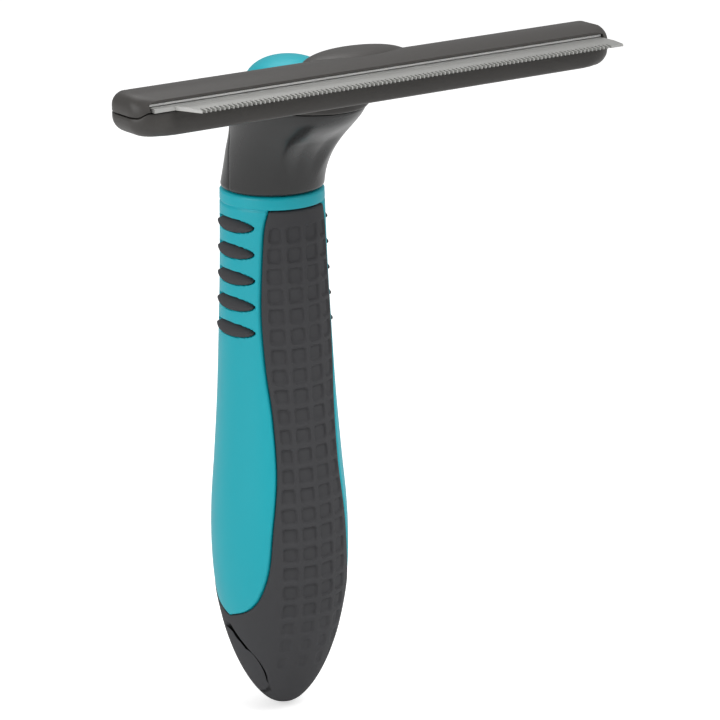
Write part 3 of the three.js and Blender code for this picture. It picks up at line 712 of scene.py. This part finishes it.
def rib_mesh(side, k, sizes):
    """One soft rib: lens shaped, sunk under its upper edge and proud along its lower one."""
    columns, rows, root = 44, 17, -1.45
    centre_z = RIB_TOP - k * RIB_PITCH
    rings = []
    for r in range(rows):
        v = -1 + 2 * r / (rows - 1)
        ring = []
        for c in range(columns):
            u = -1 + 2 * (c + 0.5) / columns
            z = centre_z + v * rib_half_height(u)
            slope = sizes.rib_proud - (sizes.rib_proud + 0.42) * smoothstep(-0.2, 1.15, v)
            rounding = 0.34 * abs(v) ** 6 + 0.5 * smoothstep(0.86, 1.0, abs(u))
            ring.append(on_handle(side * (90 + side * u * RIB_HALF_ANGLE), z, slope - rounding))
        for c in reversed(range(columns)):
            u = -1 + 2 * (c + 0.5) / columns
            z = centre_z + v * rib_half_height(u)
            ring.append(on_handle(side * (90 + side * u * RIB_HALF_ANGLE), z, root))
        rings.append(ring)
    return closed_tube("rib", rings)


# ---------- neck ----------
NECK_LEVELS = [
    (HANDLE_TOP + GAP, 0.0, 10.8, 11.2), (BLADE_TOP - 27, -1.2, 10.7, 11.2),
    (BLADE_TOP - 23, -3.0, 10.9, 11.8), (BLADE_TOP - 19, -5.6, 11.3, 13.0),
    (BLADE_TOP - 15.5, -8.0, 11.9, 14.8), (BLADE_TOP - 13, -9.6, 12.4, 16.0),
    (NECK_TOP, -10.3, 12.8, 16.6),
]
NECK_LINES = [curve_through([(level[0], level[k]) for level in NECK_LEVELS][::-1], 10)
              for k in (1, 2, 3)]


def neck_at(z):
    return [read_line(line, z, line[0][1], line[-1][1]) for line in NECK_LINES]


def scoop_depth(angle, z, deep):
    """The hollow in the front of the neck: a drop shape, pointed at the handle."""
    width = 20 + 18 * smoothstep(HANDLE_TOP, HANDLE_TOP + 13, z)
    across = 1 - smoothstep(width * 0.3, width, abs(angle))
    rise = 1 - smoothstep(NECK_TOP - 8, NECK_TOP - 2.5, z)
    start = smoothstep(HANDLE_TOP + 1, HANDLE_TOP + 11, z)
    return deep * across * rise * start


def neck_shell_mesh(front, sizes):
    """Half of the neck, split along the handle's axis, hollow, with soft edges at the seam."""
    steps = 84 if front else 60
    levels = 64
    start = HANDLE_TOP + GAP
    rows = [start + (NECK_TOP - start) * i / levels for i in range(levels + 1)]
    seam_gap = 0.06
    rings = []
    for z in rows:
        centre, half_x, half_y = neck_at(z)
        split = math.degrees(math.asin(min(max((-centre + (-seam_gap if front else seam_gap))
                                               / half_y, -1), 1)))
        low, high = (180 - split, 360 + split) if front else (split, 180 - split)
        ends = 0.35 * (1 - smoothstep(0, 0.5, z - rows[0])) + 0.2 * (1 - smoothstep(0, 0.3, NECK_TOP - z))
        outer, inner = [], []
        for i in range(steps):
            t = i / (steps - 1)
            a = math.radians(low + (high - low) * t)
            arc = min(t, 1 - t) * math.radians(high - low) * half_x
            lift = -ends - 0.12 * (1 - smoothstep(0, 0.2, arc))
            if front:
                ahead = math.degrees(a) - 270
                lift -= scoop_depth(ahead, z, sizes.scoop_depth)
            outer.append(Vector(((half_x + lift) * math.cos(a),
                                 AXIS_Y + centre + (half_y + lift) * math.sin(a), z)))
            inner.append(Vector(((half_x - NECK_WALL) * math.cos(a),
                                 AXIS_Y + centre + (half_y - NECK_WALL) * math.sin(a), z)))
        for p in inner:
            edge = AXIS_Y + (-seam_gap if front else seam_gap)
            p.y = min(p.y, edge) if front else max(p.y, edge)
        rings.append(outer + inner[::-1])
    mesh = closed_tube("neck_shell", rings)
    if not front:
        for node in ("neck_screw_1", "neck_screw_2"):
            low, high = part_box(node)
            radius = (high.x - low.x) / 2 / MM + GAP
            seat = high.y / MM - 1.4
            well = lathe([(radius, seat), (radius, seat + 9)], (0, 0, (low.z + high.z) / 2 / MM), "y", 40)
            boss = lathe([(radius + 0.9, seat - 8), (radius + 0.9, seat + 0.02)],
                         (0, 0, (low.z + high.z) / 2 / MM), "y", 40)
            mesh = boolean(boolean(mesh, boss, "UNION"), well, "DIFFERENCE")
    return mesh


# ---------- head ----------
def bar_ring(inset):
    """Outline of the bar in plan, with round corners, moved inwards by an inset."""
    corner = max(4.2 - inset, 0.02)
    half_x, y0, y1 = HALF_BAR - inset, behind(BAR_FRONT) + inset, behind(BAR_BACK) - inset
    ring = []
    corners = [(half_x, y0, -90), (half_x, y1, 0), (-half_x, y1, 90), (-half_x, y0, 180)]
    for k, (x, y, start) in enumerate(corners):
        cx = x - math.copysign(corner, x)
        cy = y + corner if y == y0 else y - corner
        for i in range(11):
            a = math.radians(start + 9 * i)
            ring.append((cx + corner * math.cos(a), cy + corner * math.sin(a)))
        if k in (1, 3):
            direction = -1 if k == 1 else 1
            run = 2 * (half_x - corner)
            for i in range(1, 56):
                ring.append((cx + direction * run * i / 56, y))
    return ring


INSETS = (0.0, 0.06, 0.15, 0.28, 0.45, 0.7, 1.0, 1.4, 1.9, 2.5, 3.3, 4.3, 5.4, 6.44)


def rounding(inset, radius):
    """Drop of a rounded edge at an inset from the outline."""
    if inset >= radius:
        return 0.0
    return radius - math.sqrt(max(radius ** 2 - (radius - inset) ** 2, 0))


def bar_solid(top, bottom):
    """Bar between a top and a bottom surface, each given as height from (x, y, inset)."""
    rings = []
    for inset in reversed(INSETS):
        rings.append([Vector((x, y, bottom(x, y, inset))) for x, y in bar_ring(inset)])
    for inset in INSETS:
        rings.append([Vector((x, y, top(x, y, inset))) for x, y in bar_ring(inset)])
    return closed_tube("bar", rings)


def end_share(x):
    return smoothstep(HALF_BAR - 8, HALF_BAR - 1, abs(x))


def seam_drop(x):
    """How far the seam between the bar's shells runs lower at the bar's ends."""
    return 1.0 * smoothstep(HALF_BAR - 2.5, HALF_BAR - 0.6, abs(x))


COVER_LINE = [(6.0, 0.9), (7.0, 1.2), (8.5, 1.65), (10.5, 2.15), (12.0, 2.3), (13.8, 2.26),
              (15.6, 2.05), (17.1, 1.6), (18.2, 0.9), (18.8, 0.2), (19.0, -0.5)]


def cover_height(y):
    distance = y - TIPS_Y
    for (s0, h0), (s1, h1) in zip(COVER_LINE, COVER_LINE[1:]):
        if s0 <= distance <= s1:
            return BLADE_TOP + h0 + (h1 - h0) * (distance - s0) / (s1 - s0)
    return BLADE_TOP + (COVER_LINE[0][1] if distance < 6 else COVER_LINE[-1][1])


def ellipse_stack(levels, centre_y, steps=72):
    """Solid through (height, half width, half depth) ellipses."""
    rings = []
    for z, half_x, half_y in levels:
        rings.append([Vector((half_x * math.cos(2 * math.pi * i / steps),
                              centre_y + half_y * math.sin(2 * math.pi * i / steps), z))
                      for i in range(steps)])
    return closed_tube("stack", rings)


def side_prism(outline, half_x):
    """Prism across X of an outline given as (Y, Z)."""
    return closed_tube("prism", [[Vector((x, y, z)) for y, z in outline] for x in (-half_x, half_x)])


ROOF = BLADE_TOP + 0.7
HEAD_SCREWS = ("head_screw_1", "head_screw_2", "head_screw_3", "head_screw_4")
DECK_SCREWS = ("deck_screw_1", "deck_screw_2")


def upper_shell_mesh(sizes):
    def top(x, y, inset):
        radius = 0.45 + sizes.end_rounding * end_share(x)
        return max(cover_height(y) - rounding(inset, radius), COVER_BOTTOM - seam_drop(x) + 0.2)

    def bottom(x, y, inset):
        return COVER_BOTTOM - seam_drop(x) + rounding(inset, 0.14)

    cover = bar_solid(top, bottom)
    levels = []
    for i in range(25):
        share = i / 24
        rho = max(1 - share, 0.02) if i < 24 else 0.02
        height = 3.8 * (1 - rho ** 3) ** 0.45
        levels.append((COVER_BOTTOM + height, HOOD_HALF[0] * rho, HOOD_HALF[1] * rho))
    hood = ellipse_stack(levels, behind(HOOD_CENTRE))
    front_part = block(-20, 20, behind(0), behind(12.2), COVER_BOTTOM - 2, BLADE_TOP + 9)
    hood = boolean(hood, front_part, "DIFFERENCE")
    cover = boolean(cover, hood, "UNION")
    slot_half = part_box("comb_blade")[1].x / MM + GAP
    cuts = [
        block(-slot_half, slot_half, behind(-3), behind(13.3), COVER_BOTTOM - 2, ROOF),
        block(-slot_half, slot_half, behind(0), behind(7.0), COVER_BOTTOM - 2, BLADE_TOP + 6, 0.7, 4),
        block(-CHANNEL_HALF, CHANNEL_HALF, behind(12), behind(CHANNEL_BACK), COVER_BOTTOM - 2, ROOF),
    ]
    for cut in cuts:
        cover = boolean(cover, cut, "DIFFERENCE")
    return cover


def lower_shell_mesh(sizes):
    def top(x, y, inset):
        return BLADE_SEAT - seam_drop(x) - rounding(inset, 0.16)

    def bottom(x, y, inset):
        radius = 0.9 + sizes.end_rounding * 1.1 * end_share(x)
        return BAR_BOTTOM + rounding(inset, radius)

    shell = bar_solid(top, bottom)
    joint = [(BLADE_TOP + z, a, b) for z, a, b in
             ((-9.9, 11.2, 6.5), (-8, 12.2, 6.8), (-5, 12.8, 6.9), (-1.1, 13.0, 6.9))]
    gusset = ellipse_stack(joint, behind(HOOD_CENTRE))
    underside = side_prism([
        (behind(10), BAR_BOTTOM), (behind(11.6), BAR_BOTTOM - 0.5), (behind(13), BAR_BOTTOM - 1.3),
        (behind(22.2), DECK_TOP - 0.9), (behind(26.2), DECK_TOP - DECK_THICK),
        (behind(26.2), BLADE_TOP + 9), (behind(10), BLADE_TOP + 9)], 20)
    gusset = boolean(gusset, underside, "INTERSECT")
    half_x, half_y = DECK_HALF
    rim = [(DECK_TOP - DECK_THICK + drop, half_x - rounding(drop, 0.55), half_y - rounding(drop, 0.55))
           for drop in (0.0, 0.05, 0.12, 0.22, 0.36, 0.55)]
    rim += [(DECK_TOP - drop, half_x - rounding(drop, 0.6), half_y - rounding(drop, 0.6))
            for drop in (0.6, 0.4, 0.25, 0.14, 0.06, 0.0)]
    deck = ellipse_stack(rim, behind(DECK_CENTRE), 96)
    post_low, post_high = behind(33.5), behind(34.7)
    shell = boolean(boolean(shell, gusset, "UNION"), deck, "UNION")
    channel = side_prism([
        (behind(13.9), BLADE_TOP - 5.4), (behind(21.5), DECK_TOP), (behind(27.2), DECK_TOP),
        (behind(27.2), BLADE_TOP - 4.5), (behind(CHANNEL_BACK), BLADE_TOP - 3.3),
        (behind(CHANNEL_BACK), BLADE_TOP + 2), (behind(13.9), BLADE_TOP + 2)], CHANNEL_HALF)
    shell = boolean(shell, channel, "DIFFERENCE")
    shell = boolean(shell, block(-1.5, 1.5, post_low, post_high, DECK_TOP - 0.5, DECK_TOP + 2.5, 0.25),
                    "UNION")
    for node in HEAD_SCREWS + DECK_SCREWS:
        low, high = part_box(node)
        centre = ((low.x + high.x) / 2 / MM, (low.y + high.y) / 2 / MM, 0)
        radius = (high.x - low.x) / 2 / MM + GAP
        span = ((BAR_BOTTOM - 6, BAR_BOTTOM + 1.7) if node in HEAD_SCREWS
                else (DECK_TOP - 1.1, DECK_TOP + 2))
        shell = boolean(shell, lathe([(radius, span[0]), (radius, span[1])], centre, "z", 36), "DIFFERENCE")
    return shell


# ---------- ejector ----------
def button_mesh():
    """Hollow domed thumb button with a soft rim and a notch for the slider's rails."""
    low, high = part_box("eject_button")
    half_x, half_y = high.x / MM, (high.y - low.y) / 2 / MM
    centre_y, floor, rise = (high.y + low.y) / 2 / MM, low.z / MM, (high.z - low.z) / MM
    steps = 96
    rings = []
    for inner in (False, True):
        shrink = BUTTON_WALL if inner else 0.0
        order = range(0, 30) if not inner else reversed(range(0, 30))
        for k in order:
            t = math.radians(90 * k / 29.3)
            rim = 0.25 * (1 - smoothstep(0, 0.12, t)) if not inner else 0.0
            a, b = half_x - shrink - rim, half_y - shrink - rim
            height = (rise - shrink) * math.sin(t) ** 0.96
            rings.append([Vector((a * math.cos(t) ** 0.92 * math.cos(2 * math.pi * i / steps),
                                  centre_y + b * math.cos(t) ** 0.92 * math.sin(2 * math.pi * i / steps),
                                  floor + height)) for i in range(steps)])
    points = [p for ring in rings for p in ring]
    faces = grid_faces(len(rings), steps, closed_columns=True)
    half = len(rings) // 2
    outer_cap = half - 1
    faces = [f for f in faces if not (outer_cap * steps <= f[0] < (outer_cap + 1) * steps)]
    faces.append(tuple(outer_cap * steps + i for i in range(steps)))
    faces.append(tuple(half * steps + i for i in range(steps))[::-1])
    last = (len(rings) - 1) * steps
    faces += [(last + i, last + (i + 1) % steps, (i + 1) % steps, i) for i in range(steps)]
    button = mesh_from("eject_button", points, faces)
    notch = block(-CHANNEL_HALF, CHANNEL_HALF, centre_y - half_y - 2, centre_y, floor - 1, floor + 1.65)
    button = boolean(button, notch, "DIFFERENCE")
    for side in (-1, 1):
        x0, x1 = sorted((side * 2.2, side * 3.6))
        leg = block(x0, x1, centre_y - 2, centre_y + 2, floor + 1.65, floor + rise * 0.86)
        button = boolean(button, leg, "UNION")
    return button


def spring_mesh(sizes):
    """Coil spring round its rod, with closed coils at both ends."""
    low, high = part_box("return_spring")
    wire = 0.19
    radius = high.x / MM - wire
    centre_z = (low.z + high.z) / 2 / MM
    start, end = low.y / MM + wire, high.y / MM - wire
    turns, per_turn, sides = sizes.spring_turns, 28, 8
    count = turns * per_turn + 1
    rings = []
    for i in range(count):
        turn = i / per_turn
        share = smoothstep(0, 1, min(max((turn - 0.7) / (turns - 1.4), 0), 1)) * 0.35
        share += min(max((turn - 0.7) / (turns - 1.4), 0), 1) * 0.65
        y = start + wire + (end - start - 2 * wire) * share + wire * (min(turn / 0.7, 1) - 1)
        y += wire * max((turn - turns + 0.7) / 0.7, 0)
        a = 2 * math.pi * turn
        outward = Vector((math.cos(a), 0, math.sin(a)))
        centre = Vector((0, y, centre_z)) + outward * radius
        rings.append([centre + wire * (outward * math.cos(2 * math.pi * k / sides)
                                       + Vector((0, 1, 0)) * math.sin(2 * math.pi * k / sides))
                      for k in range(sides)])
    return closed_tube("return_spring", rings)


SHANK_SHARE = 0.5                 # shank radius over head radius
THREAD_PITCH = 0.6


def screw_mesh(node, direction, head_height):
    """Cross-recessed screw filling a CAD screw's place, its head towards a direction."""
    low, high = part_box(node)
    low, high = low / MM, high / MM
    axis = "y" if direction.y else "z"
    length = (high.y - low.y) if axis == "y" else (high.z - low.z)
    radius = (high.x - low.x) / 2
    shank = radius * SHANK_SHARE
    profile = [(shank * 0.4, -length), (shank * 0.8, -length + 0.8)]
    z = -length + 1.0
    while z < -head_height - 0.9:
        profile += [(shank * 0.82, z), (shank, z + 0.25), (shank * 0.82, z + 0.5)]
        z += THREAD_PITCH
    profile += [(shank * 0.85, -head_height - 0.3), (shank, -head_height), (radius * 0.9, -head_height),
                (radius, -head_height + 0.15), (radius, -0.55), (radius * 0.93, -0.32),
                (radius * 0.72, -0.1), (radius * 0.4, -0.02), (radius * 0.1, 0.0)]
    body = lathe(profile, (0, 0, 0), "z", 32)
    arm, width = radius * 0.55, radius * 0.13
    for reach in ((arm, width), (width, arm)):
        body = boolean(body, block(-reach[0], reach[0], -reach[1], reach[1], -0.75, 0.3), "DIFFERENCE")
    turn = Vector((0, 0, 1)).rotation_difference(direction).to_matrix().to_4x4()
    centre = (low + high) / 2
    head = centre + direction * length / 2
    body.transform(Matrix.Translation(head) @ turn)
    return body


# ---------- settings ----------
def length_setting(name, description, default, highest):
    return bpy.props.FloatProperty(name=name, description=f"{description}, in millimetres",
                                   default=default, min=0.0, max=highest)


class CombSizes(bpy.types.PropertyGroup):
    """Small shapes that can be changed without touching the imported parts."""
    dent_depth: length_setting("Dent depth", "Depth of the square dents in the soft grip", 0.5, 0.8)
    grip_proud: length_setting("Grip proud", "Height of the soft grip over the side panels", 0.14, 0.3)
    rib_proud: length_setting("Rib proud", "Height of a rib's lower edge over the panel", 0.42, 0.6)
    rib_gap: length_setting("Rib gap", "Open gap above each rib", 0.3, 0.8)
    scoop_depth: length_setting("Scoop depth", "Depth of the hollow in the front of the neck", 1.5, 1.8)
    end_rounding: length_setting("End rounding", "Extra edge radius at the bar's ends", 1.9, 2.2)
    spring_turns: bpy.props.IntProperty(
        name="Spring turns", description="Number of coils in the return spring", default=11, min=6, max=14)


def colour_setting(name, red, green, blue):
    return bpy.props.FloatVectorProperty(
        name=name, description=f"Colour of the {name.lower()}", subtype="COLOR_GAMMA", size=3,
        default=(red / 255, green / 255, blue / 255), min=0.0, max=1.0)


def roughness_setting(name, value):
    return bpy.props.FloatProperty(
        name=f"{name} roughness", description=f"Mean roughness of the {name.lower()}",
        subtype="FACTOR", default=value, min=0.0, max=1.0)


class CombFinishes(bpy.types.PropertyGroup):
    """Colour and roughness of each finish."""
    teal_plastic: colour_setting("Teal plastic", 0, 184, 202)
    teal_plastic_roughness: roughness_setting("Teal plastic", 0.38)
    dark_rubber: colour_setting("Dark rubber", 58, 57, 58)
    dark_rubber_roughness: roughness_setting("Dark rubber", 0.6)
    black_plastic: colour_setting("Black plastic", 26, 25, 25)
    black_plastic_roughness: roughness_setting("Black plastic", 0.26)
    head_plastic: colour_setting("Head plastic", 60, 53, 48)
    head_plastic_roughness: roughness_setting("Head plastic", 0.36)
    ground_steel: colour_setting("Ground steel", 196, 195, 190)
    ground_steel_roughness: roughness_setting("Ground steel", 0.3)
    bright_steel: colour_setting("Bright steel", 205, 205, 203)
    bright_steel_roughness: roughness_setting("Bright steel", 0.24)


def power_setting(name, description, watts):
    return bpy.props.FloatProperty(name=name, description=f"Power of the {description}", default=watts,
                                   min=0.0, subtype="POWER", unit="POWER")


class CombStage(bpy.types.PropertyGroup):
    """Strengths of the three lights and of the room light."""
    key_power: power_setting("Key light", "main soft light", 4.6)
    fill_power: power_setting("Fill light", "soft light on the left", 3.0)
    top_power: power_setting("Top light", "light from above and behind", 2.0)
    sky: bpy.props.FloatProperty(
        name="Room light", description="Strength of the even light from all round", default=0.34, min=0.0)


# ---------- operators ----------
def sizes_of(context):
    return context.scene.comb_sizes


def mark_edges(mesh, angle):
    """Keeps the shading crisp over edges sharper than an angle in degrees."""
    work = bmesh.new()
    work.from_mesh(mesh)
    limit = math.radians(angle)
    for edge in work.edges:
        edge.smooth = len(edge.link_faces) == 2 and edge.calc_face_angle(0) < limit
    work.to_mesh(mesh)
    work.free()


def add_piece(name, mesh, node, body, slot, crisp):
    mark_edges(mesh, crisp)
    return finish_object(name, mesh, node, body, finish_of(slot))


class COMB_OT_stage(bpy.types.Operator):
    """Camera, soft lights, pale floor and white surroundings"""
    bl_idname = "comb.stage"
    bl_label = "Stage and camera"

    def execute(self, context):
        scene = context.scene
        place_camera(scene)
        stage = scene.comb_stage
        centre = Vector((0, 0, 0.085))
        lights = (("key_light", 28, 48, 0.95, 0.55, stage.key_power),
                  ("fill_light", -88, 22, 0.9, 0.7, stage.fill_power),
                  ("top_light", 165, 62, 0.9, 0.6, stage.top_power))
        for name, azimuth, elevation, distance, size, power in lights:
            a, e = math.radians(azimuth), math.radians(elevation)
            away = Vector((math.sin(a) * math.cos(e), -math.cos(a) * math.cos(e), math.sin(e)))
            data = bpy.data.lights.new(name, "AREA")
            data.energy = power
            data.size = size
            lamp = bpy.data.objects.new(name, data)
            lamp.location = centre + away * distance
            lamp.rotation_mode = "QUATERNION"
            lamp.rotation_quaternion = away.to_track_quat("Z", "Y")
            scene.collection.objects.link(lamp)
        build_world(scene, stage.sky)
        build_floor(scene)
        scene.view_settings.view_transform = "Standard"
        return {"FINISHED"}


def place_camera(scene):
    """Camera in front and to the left of the comb, looking a little down."""
    data = bpy.data.cameras.new("camera")
    data.sensor_width = 36.0
    data.lens = 151.5
    camera = bpy.data.objects.new("camera", data)
    camera.location = (-0.3368, -0.4996, 0.2689)
    camera.rotation_mode = "QUATERNION"
    look = Vector((0.545, 0.785, -0.2955)).normalized()
    aim = (-look).to_track_quat("Z", "Y")
    roll = Matrix.Rotation(math.radians(-0.79), 3, "Z").to_quaternion()
    camera.rotation_quaternion = aim @ roll
    scene.collection.objects.link(camera)
    scene.camera = camera


def build_world(scene, strength):
    """Even pale room light; straight looks, also through clear pieces, see plain white."""
    world = bpy.data.worlds.new("room")
    scene.world = world
    world.use_nodes = True
    tree = world.node_tree
    background = tree.nodes["Background"]
    background.inputs["Color"].default_value = (1, 1, 1, 1)
    path = tree.nodes.new("ShaderNodeLightPath")
    seen = tree.nodes.new("ShaderNodeMath")
    seen.operation = "MAXIMUM"
    tree.links.new(path.outputs["Is Camera Ray"], seen.inputs[0])
    tree.links.new(path.outputs["Is Transmission Ray"], seen.inputs[1])
    level = tree.nodes.new("ShaderNodeMapRange")
    level.inputs["To Min"].default_value = strength
    level.inputs["To Max"].default_value = 1.0
    tree.links.new(seen.outputs["Value"], level.inputs["Value"])
    tree.links.new(level.outputs["Result"], background.inputs["Strength"])


def build_floor(scene):
    """Plain pale floor under the end of the handle."""
    mesh = bpy.data.meshes.new("floor")
    mesh.from_pydata([(-4, -4, 0), (4, -4, 0), (4, 4, 0), (-4, 4, 0)], [], [(0, 1, 2, 3)])
    floor = bpy.data.objects.new("floor", mesh)
    floor.location = (0, 0, -0.0002)
    scene.collection.objects.link(floor)
    material = bpy.data.materials.new("pale_floor")
    material.use_nodes = True
    tree = material.node_tree
    shader = tree.nodes["Principled BSDF"]
    shader.inputs["Base Color"].default_value = to_linear((236, 236, 236))
    shader.inputs["Roughness"].default_value = 0.9
    shader.inputs["Specular IOR Level"].default_value = 0.2
    shader.inputs["Emission Color"].default_value = (1, 1, 1, 1)
    path = tree.nodes.new("ShaderNodeLightPath")
    lifted = tree.nodes.new("ShaderNodeMapRange")
    lifted.inputs["To Max"].default_value = 0.6
    tree.links.new(path.outputs["Is Camera Ray"], lifted.inputs["Value"])
    tree.links.new(lifted.outputs["Result"], shader.inputs["Emission Strength"])
    mesh.materials.append(material)


class COMB_OT_handle(bpy.types.Operator):
    """Hard inner handle with its side panels, ring and rib pockets"""
    bl_idname = "comb.handle"
    bl_label = "Handle body"

    def execute(self, context):
        add_piece("handle_body", handle_body_mesh(sizes_of(context)), "handle_core",
                  "comb_body", "teal_plastic", 50)
        return {"FINISHED"}


class COMB_OT_grip(bpy.types.Operator):
    """Soft grip with square dents, end cap and hanging hole"""
    bl_idname = "comb.grip"
    bl_label = "Soft grip"

    def execute(self, context):
        add_piece("grip_skin", soft_grip_mesh(sizes_of(context)), "soft_grip",
                  "comb_body", "dark_rubber", 55)
        return {"FINISHED"}


class COMB_OT_ribs(bpy.types.Operator):
    """Five soft ribs on each side of the handle"""
    bl_idname = "comb.ribs"
    bl_label = "Side ribs"

    def execute(self, context):
        for side, word in ((-1, "left"), (1, "right")):
            for k in range(RIB_COUNT):
                add_piece(f"{word}_insert_{k + 1}", rib_mesh(side, k, sizes_of(context)),
                          f"{word}_rib_{k + 1}", "comb_body", "dark_rubber", 50)
        return {"FINISHED"}


class COMB_OT_neck(bpy.types.Operator):
    """Front and rear shells of the neck"""
    bl_idname = "comb.neck"
    bl_label = "Neck shells"

    def execute(self, context):
        for front, name, node in ((True, "neck_front", "neck_front_shell"),
                                  (False, "neck_rear", "neck_rear_shell")):
            add_piece(name, neck_shell_mesh(front, sizes_of(context)), node,
                      "comb_body", "black_plastic", 45)
        return {"FINISHED"}


class COMB_OT_head(bpy.types.Operator):
    """Upper and lower shells of the cross bar, with hood and deck"""
    bl_idname = "comb.head"
    bl_label = "Cross bar"

    def execute(self, context):
        add_piece("bar_cover", upper_shell_mesh(sizes_of(context)), "head_upper_shell",
                  "comb_body", "head_plastic", 32)
        add_piece("bar_base", lower_shell_mesh(sizes_of(context)), "head_lower_shell",
                  "comb_body", "head_plastic", 32)
        return {"FINISHED"}


class COMB_OT_blade(bpy.types.Operator):
    """Ground steel comb blade"""
    bl_idname = "comb.blade"
    bl_label = "Comb blade"

    def execute(self, context):
        dress("comb_blade", "ground_steel")
        return {"FINISHED"}


class COMB_OT_ejector(bpy.types.Operator):
    """Thumb button, slider, plate, rivets, spring and rod of the ejector"""
    bl_idname = "comb.ejector"
    bl_label = "Ejector"

    def execute(self, context):
        sizes = sizes_of(context)
        add_piece("thumb_button", button_mesh(), "eject_button", "ejector", "teal_plastic", 40)
        spring = add_piece("coil_spring", spring_mesh(sizes), "return_spring", "comb_body",
                           "bright_steel", 60)
        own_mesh(spring)
        dress("ejector_plate", "bright_steel")
        dress("ejector_slider", "black_plastic")
        dress("spring_rod", "bright_steel")
        for node in ("ejector_rivet_1", "ejector_rivet_2"):
            dress(node, "bright_steel")
        return {"FINISHED"}


class COMB_OT_screws(bpy.types.Operator):
    """Cross-recessed screws of the neck, deck, bar and blade"""
    bl_idname = "comb.screws"
    bl_label = "Screws"

    def execute(self, context):
        groups = ((("neck_screw_1", "neck_screw_2"), Vector((0, 1, 0))),
                  (DECK_SCREWS, Vector((0, 0, 1))),
                  (HEAD_SCREWS, Vector((0, 0, -1))),
                  (tuple(f"blade_screw_{i}" for i in range(1, 5)), Vector((0, 0, 1))))
        for nodes, direction in groups:
            for node in nodes:
                height = 0.8 if node.startswith("blade") else 1.25
                add_piece(f"{node}_threaded", screw_mesh(node, direction, head_height=height),
                          node, "comb_body", "bright_steel", 30)
        return {"FINISHED"}


PARTS = (COMB_OT_handle, COMB_OT_grip, COMB_OT_ribs, COMB_OT_neck, COMB_OT_head, COMB_OT_blade,
         COMB_OT_ejector, COMB_OT_screws)


class COMB_PT_panel(bpy.types.Panel):
    """Lists the comb's settings and pieces"""
    bl_idname = "COMB_PT_panel"
    bl_label = "Grooming comb"
    bl_space_type = "VIEW_3D"
    bl_region_type = "UI"
    bl_category = "Comb"

    def draw(self, context):
        layout = self.layout
        for settings in (context.scene.comb_sizes, context.scene.comb_finishes,
                         context.scene.comb_stage):
            column = layout.column(align=True)
            for key in settings.__annotations__:
                column.prop(settings, key)
        layout.operator(COMB_OT_stage.bl_idname)
        for part in PARTS:
            layout.operator(part.bl_idname)


SETTINGS = (("comb_sizes", CombSizes), ("comb_finishes", CombFinishes), ("comb_stage", CombStage))
CLASSES = tuple(group for _, group in SETTINGS) + (COMB_OT_stage,) + PARTS + (COMB_PT_panel,)


def register():
    for cls in CLASSES:
        bpy.utils.register_class(cls)
    for key, group in SETTINGS:
        setattr(bpy.types.Scene, key, bpy.props.PointerProperty(type=group))


def unregister():
    for key, _ in SETTINGS:
        delattr(bpy.types.Scene, key)
    for cls in reversed(CLASSES):
        bpy.utils.unregister_class(cls)


def main():
    register()
    bpy.ops.comb.stage()
    bpy.ops.comb.handle()
    bpy.ops.comb.grip()
    bpy.ops.comb.ribs()
    bpy.ops.comb.neck()
    bpy.ops.comb.head()
    bpy.ops.comb.blade()
    bpy.ops.comb.ejector()
    bpy.ops.comb.screws()


if __name__ == "__main__":
    main()
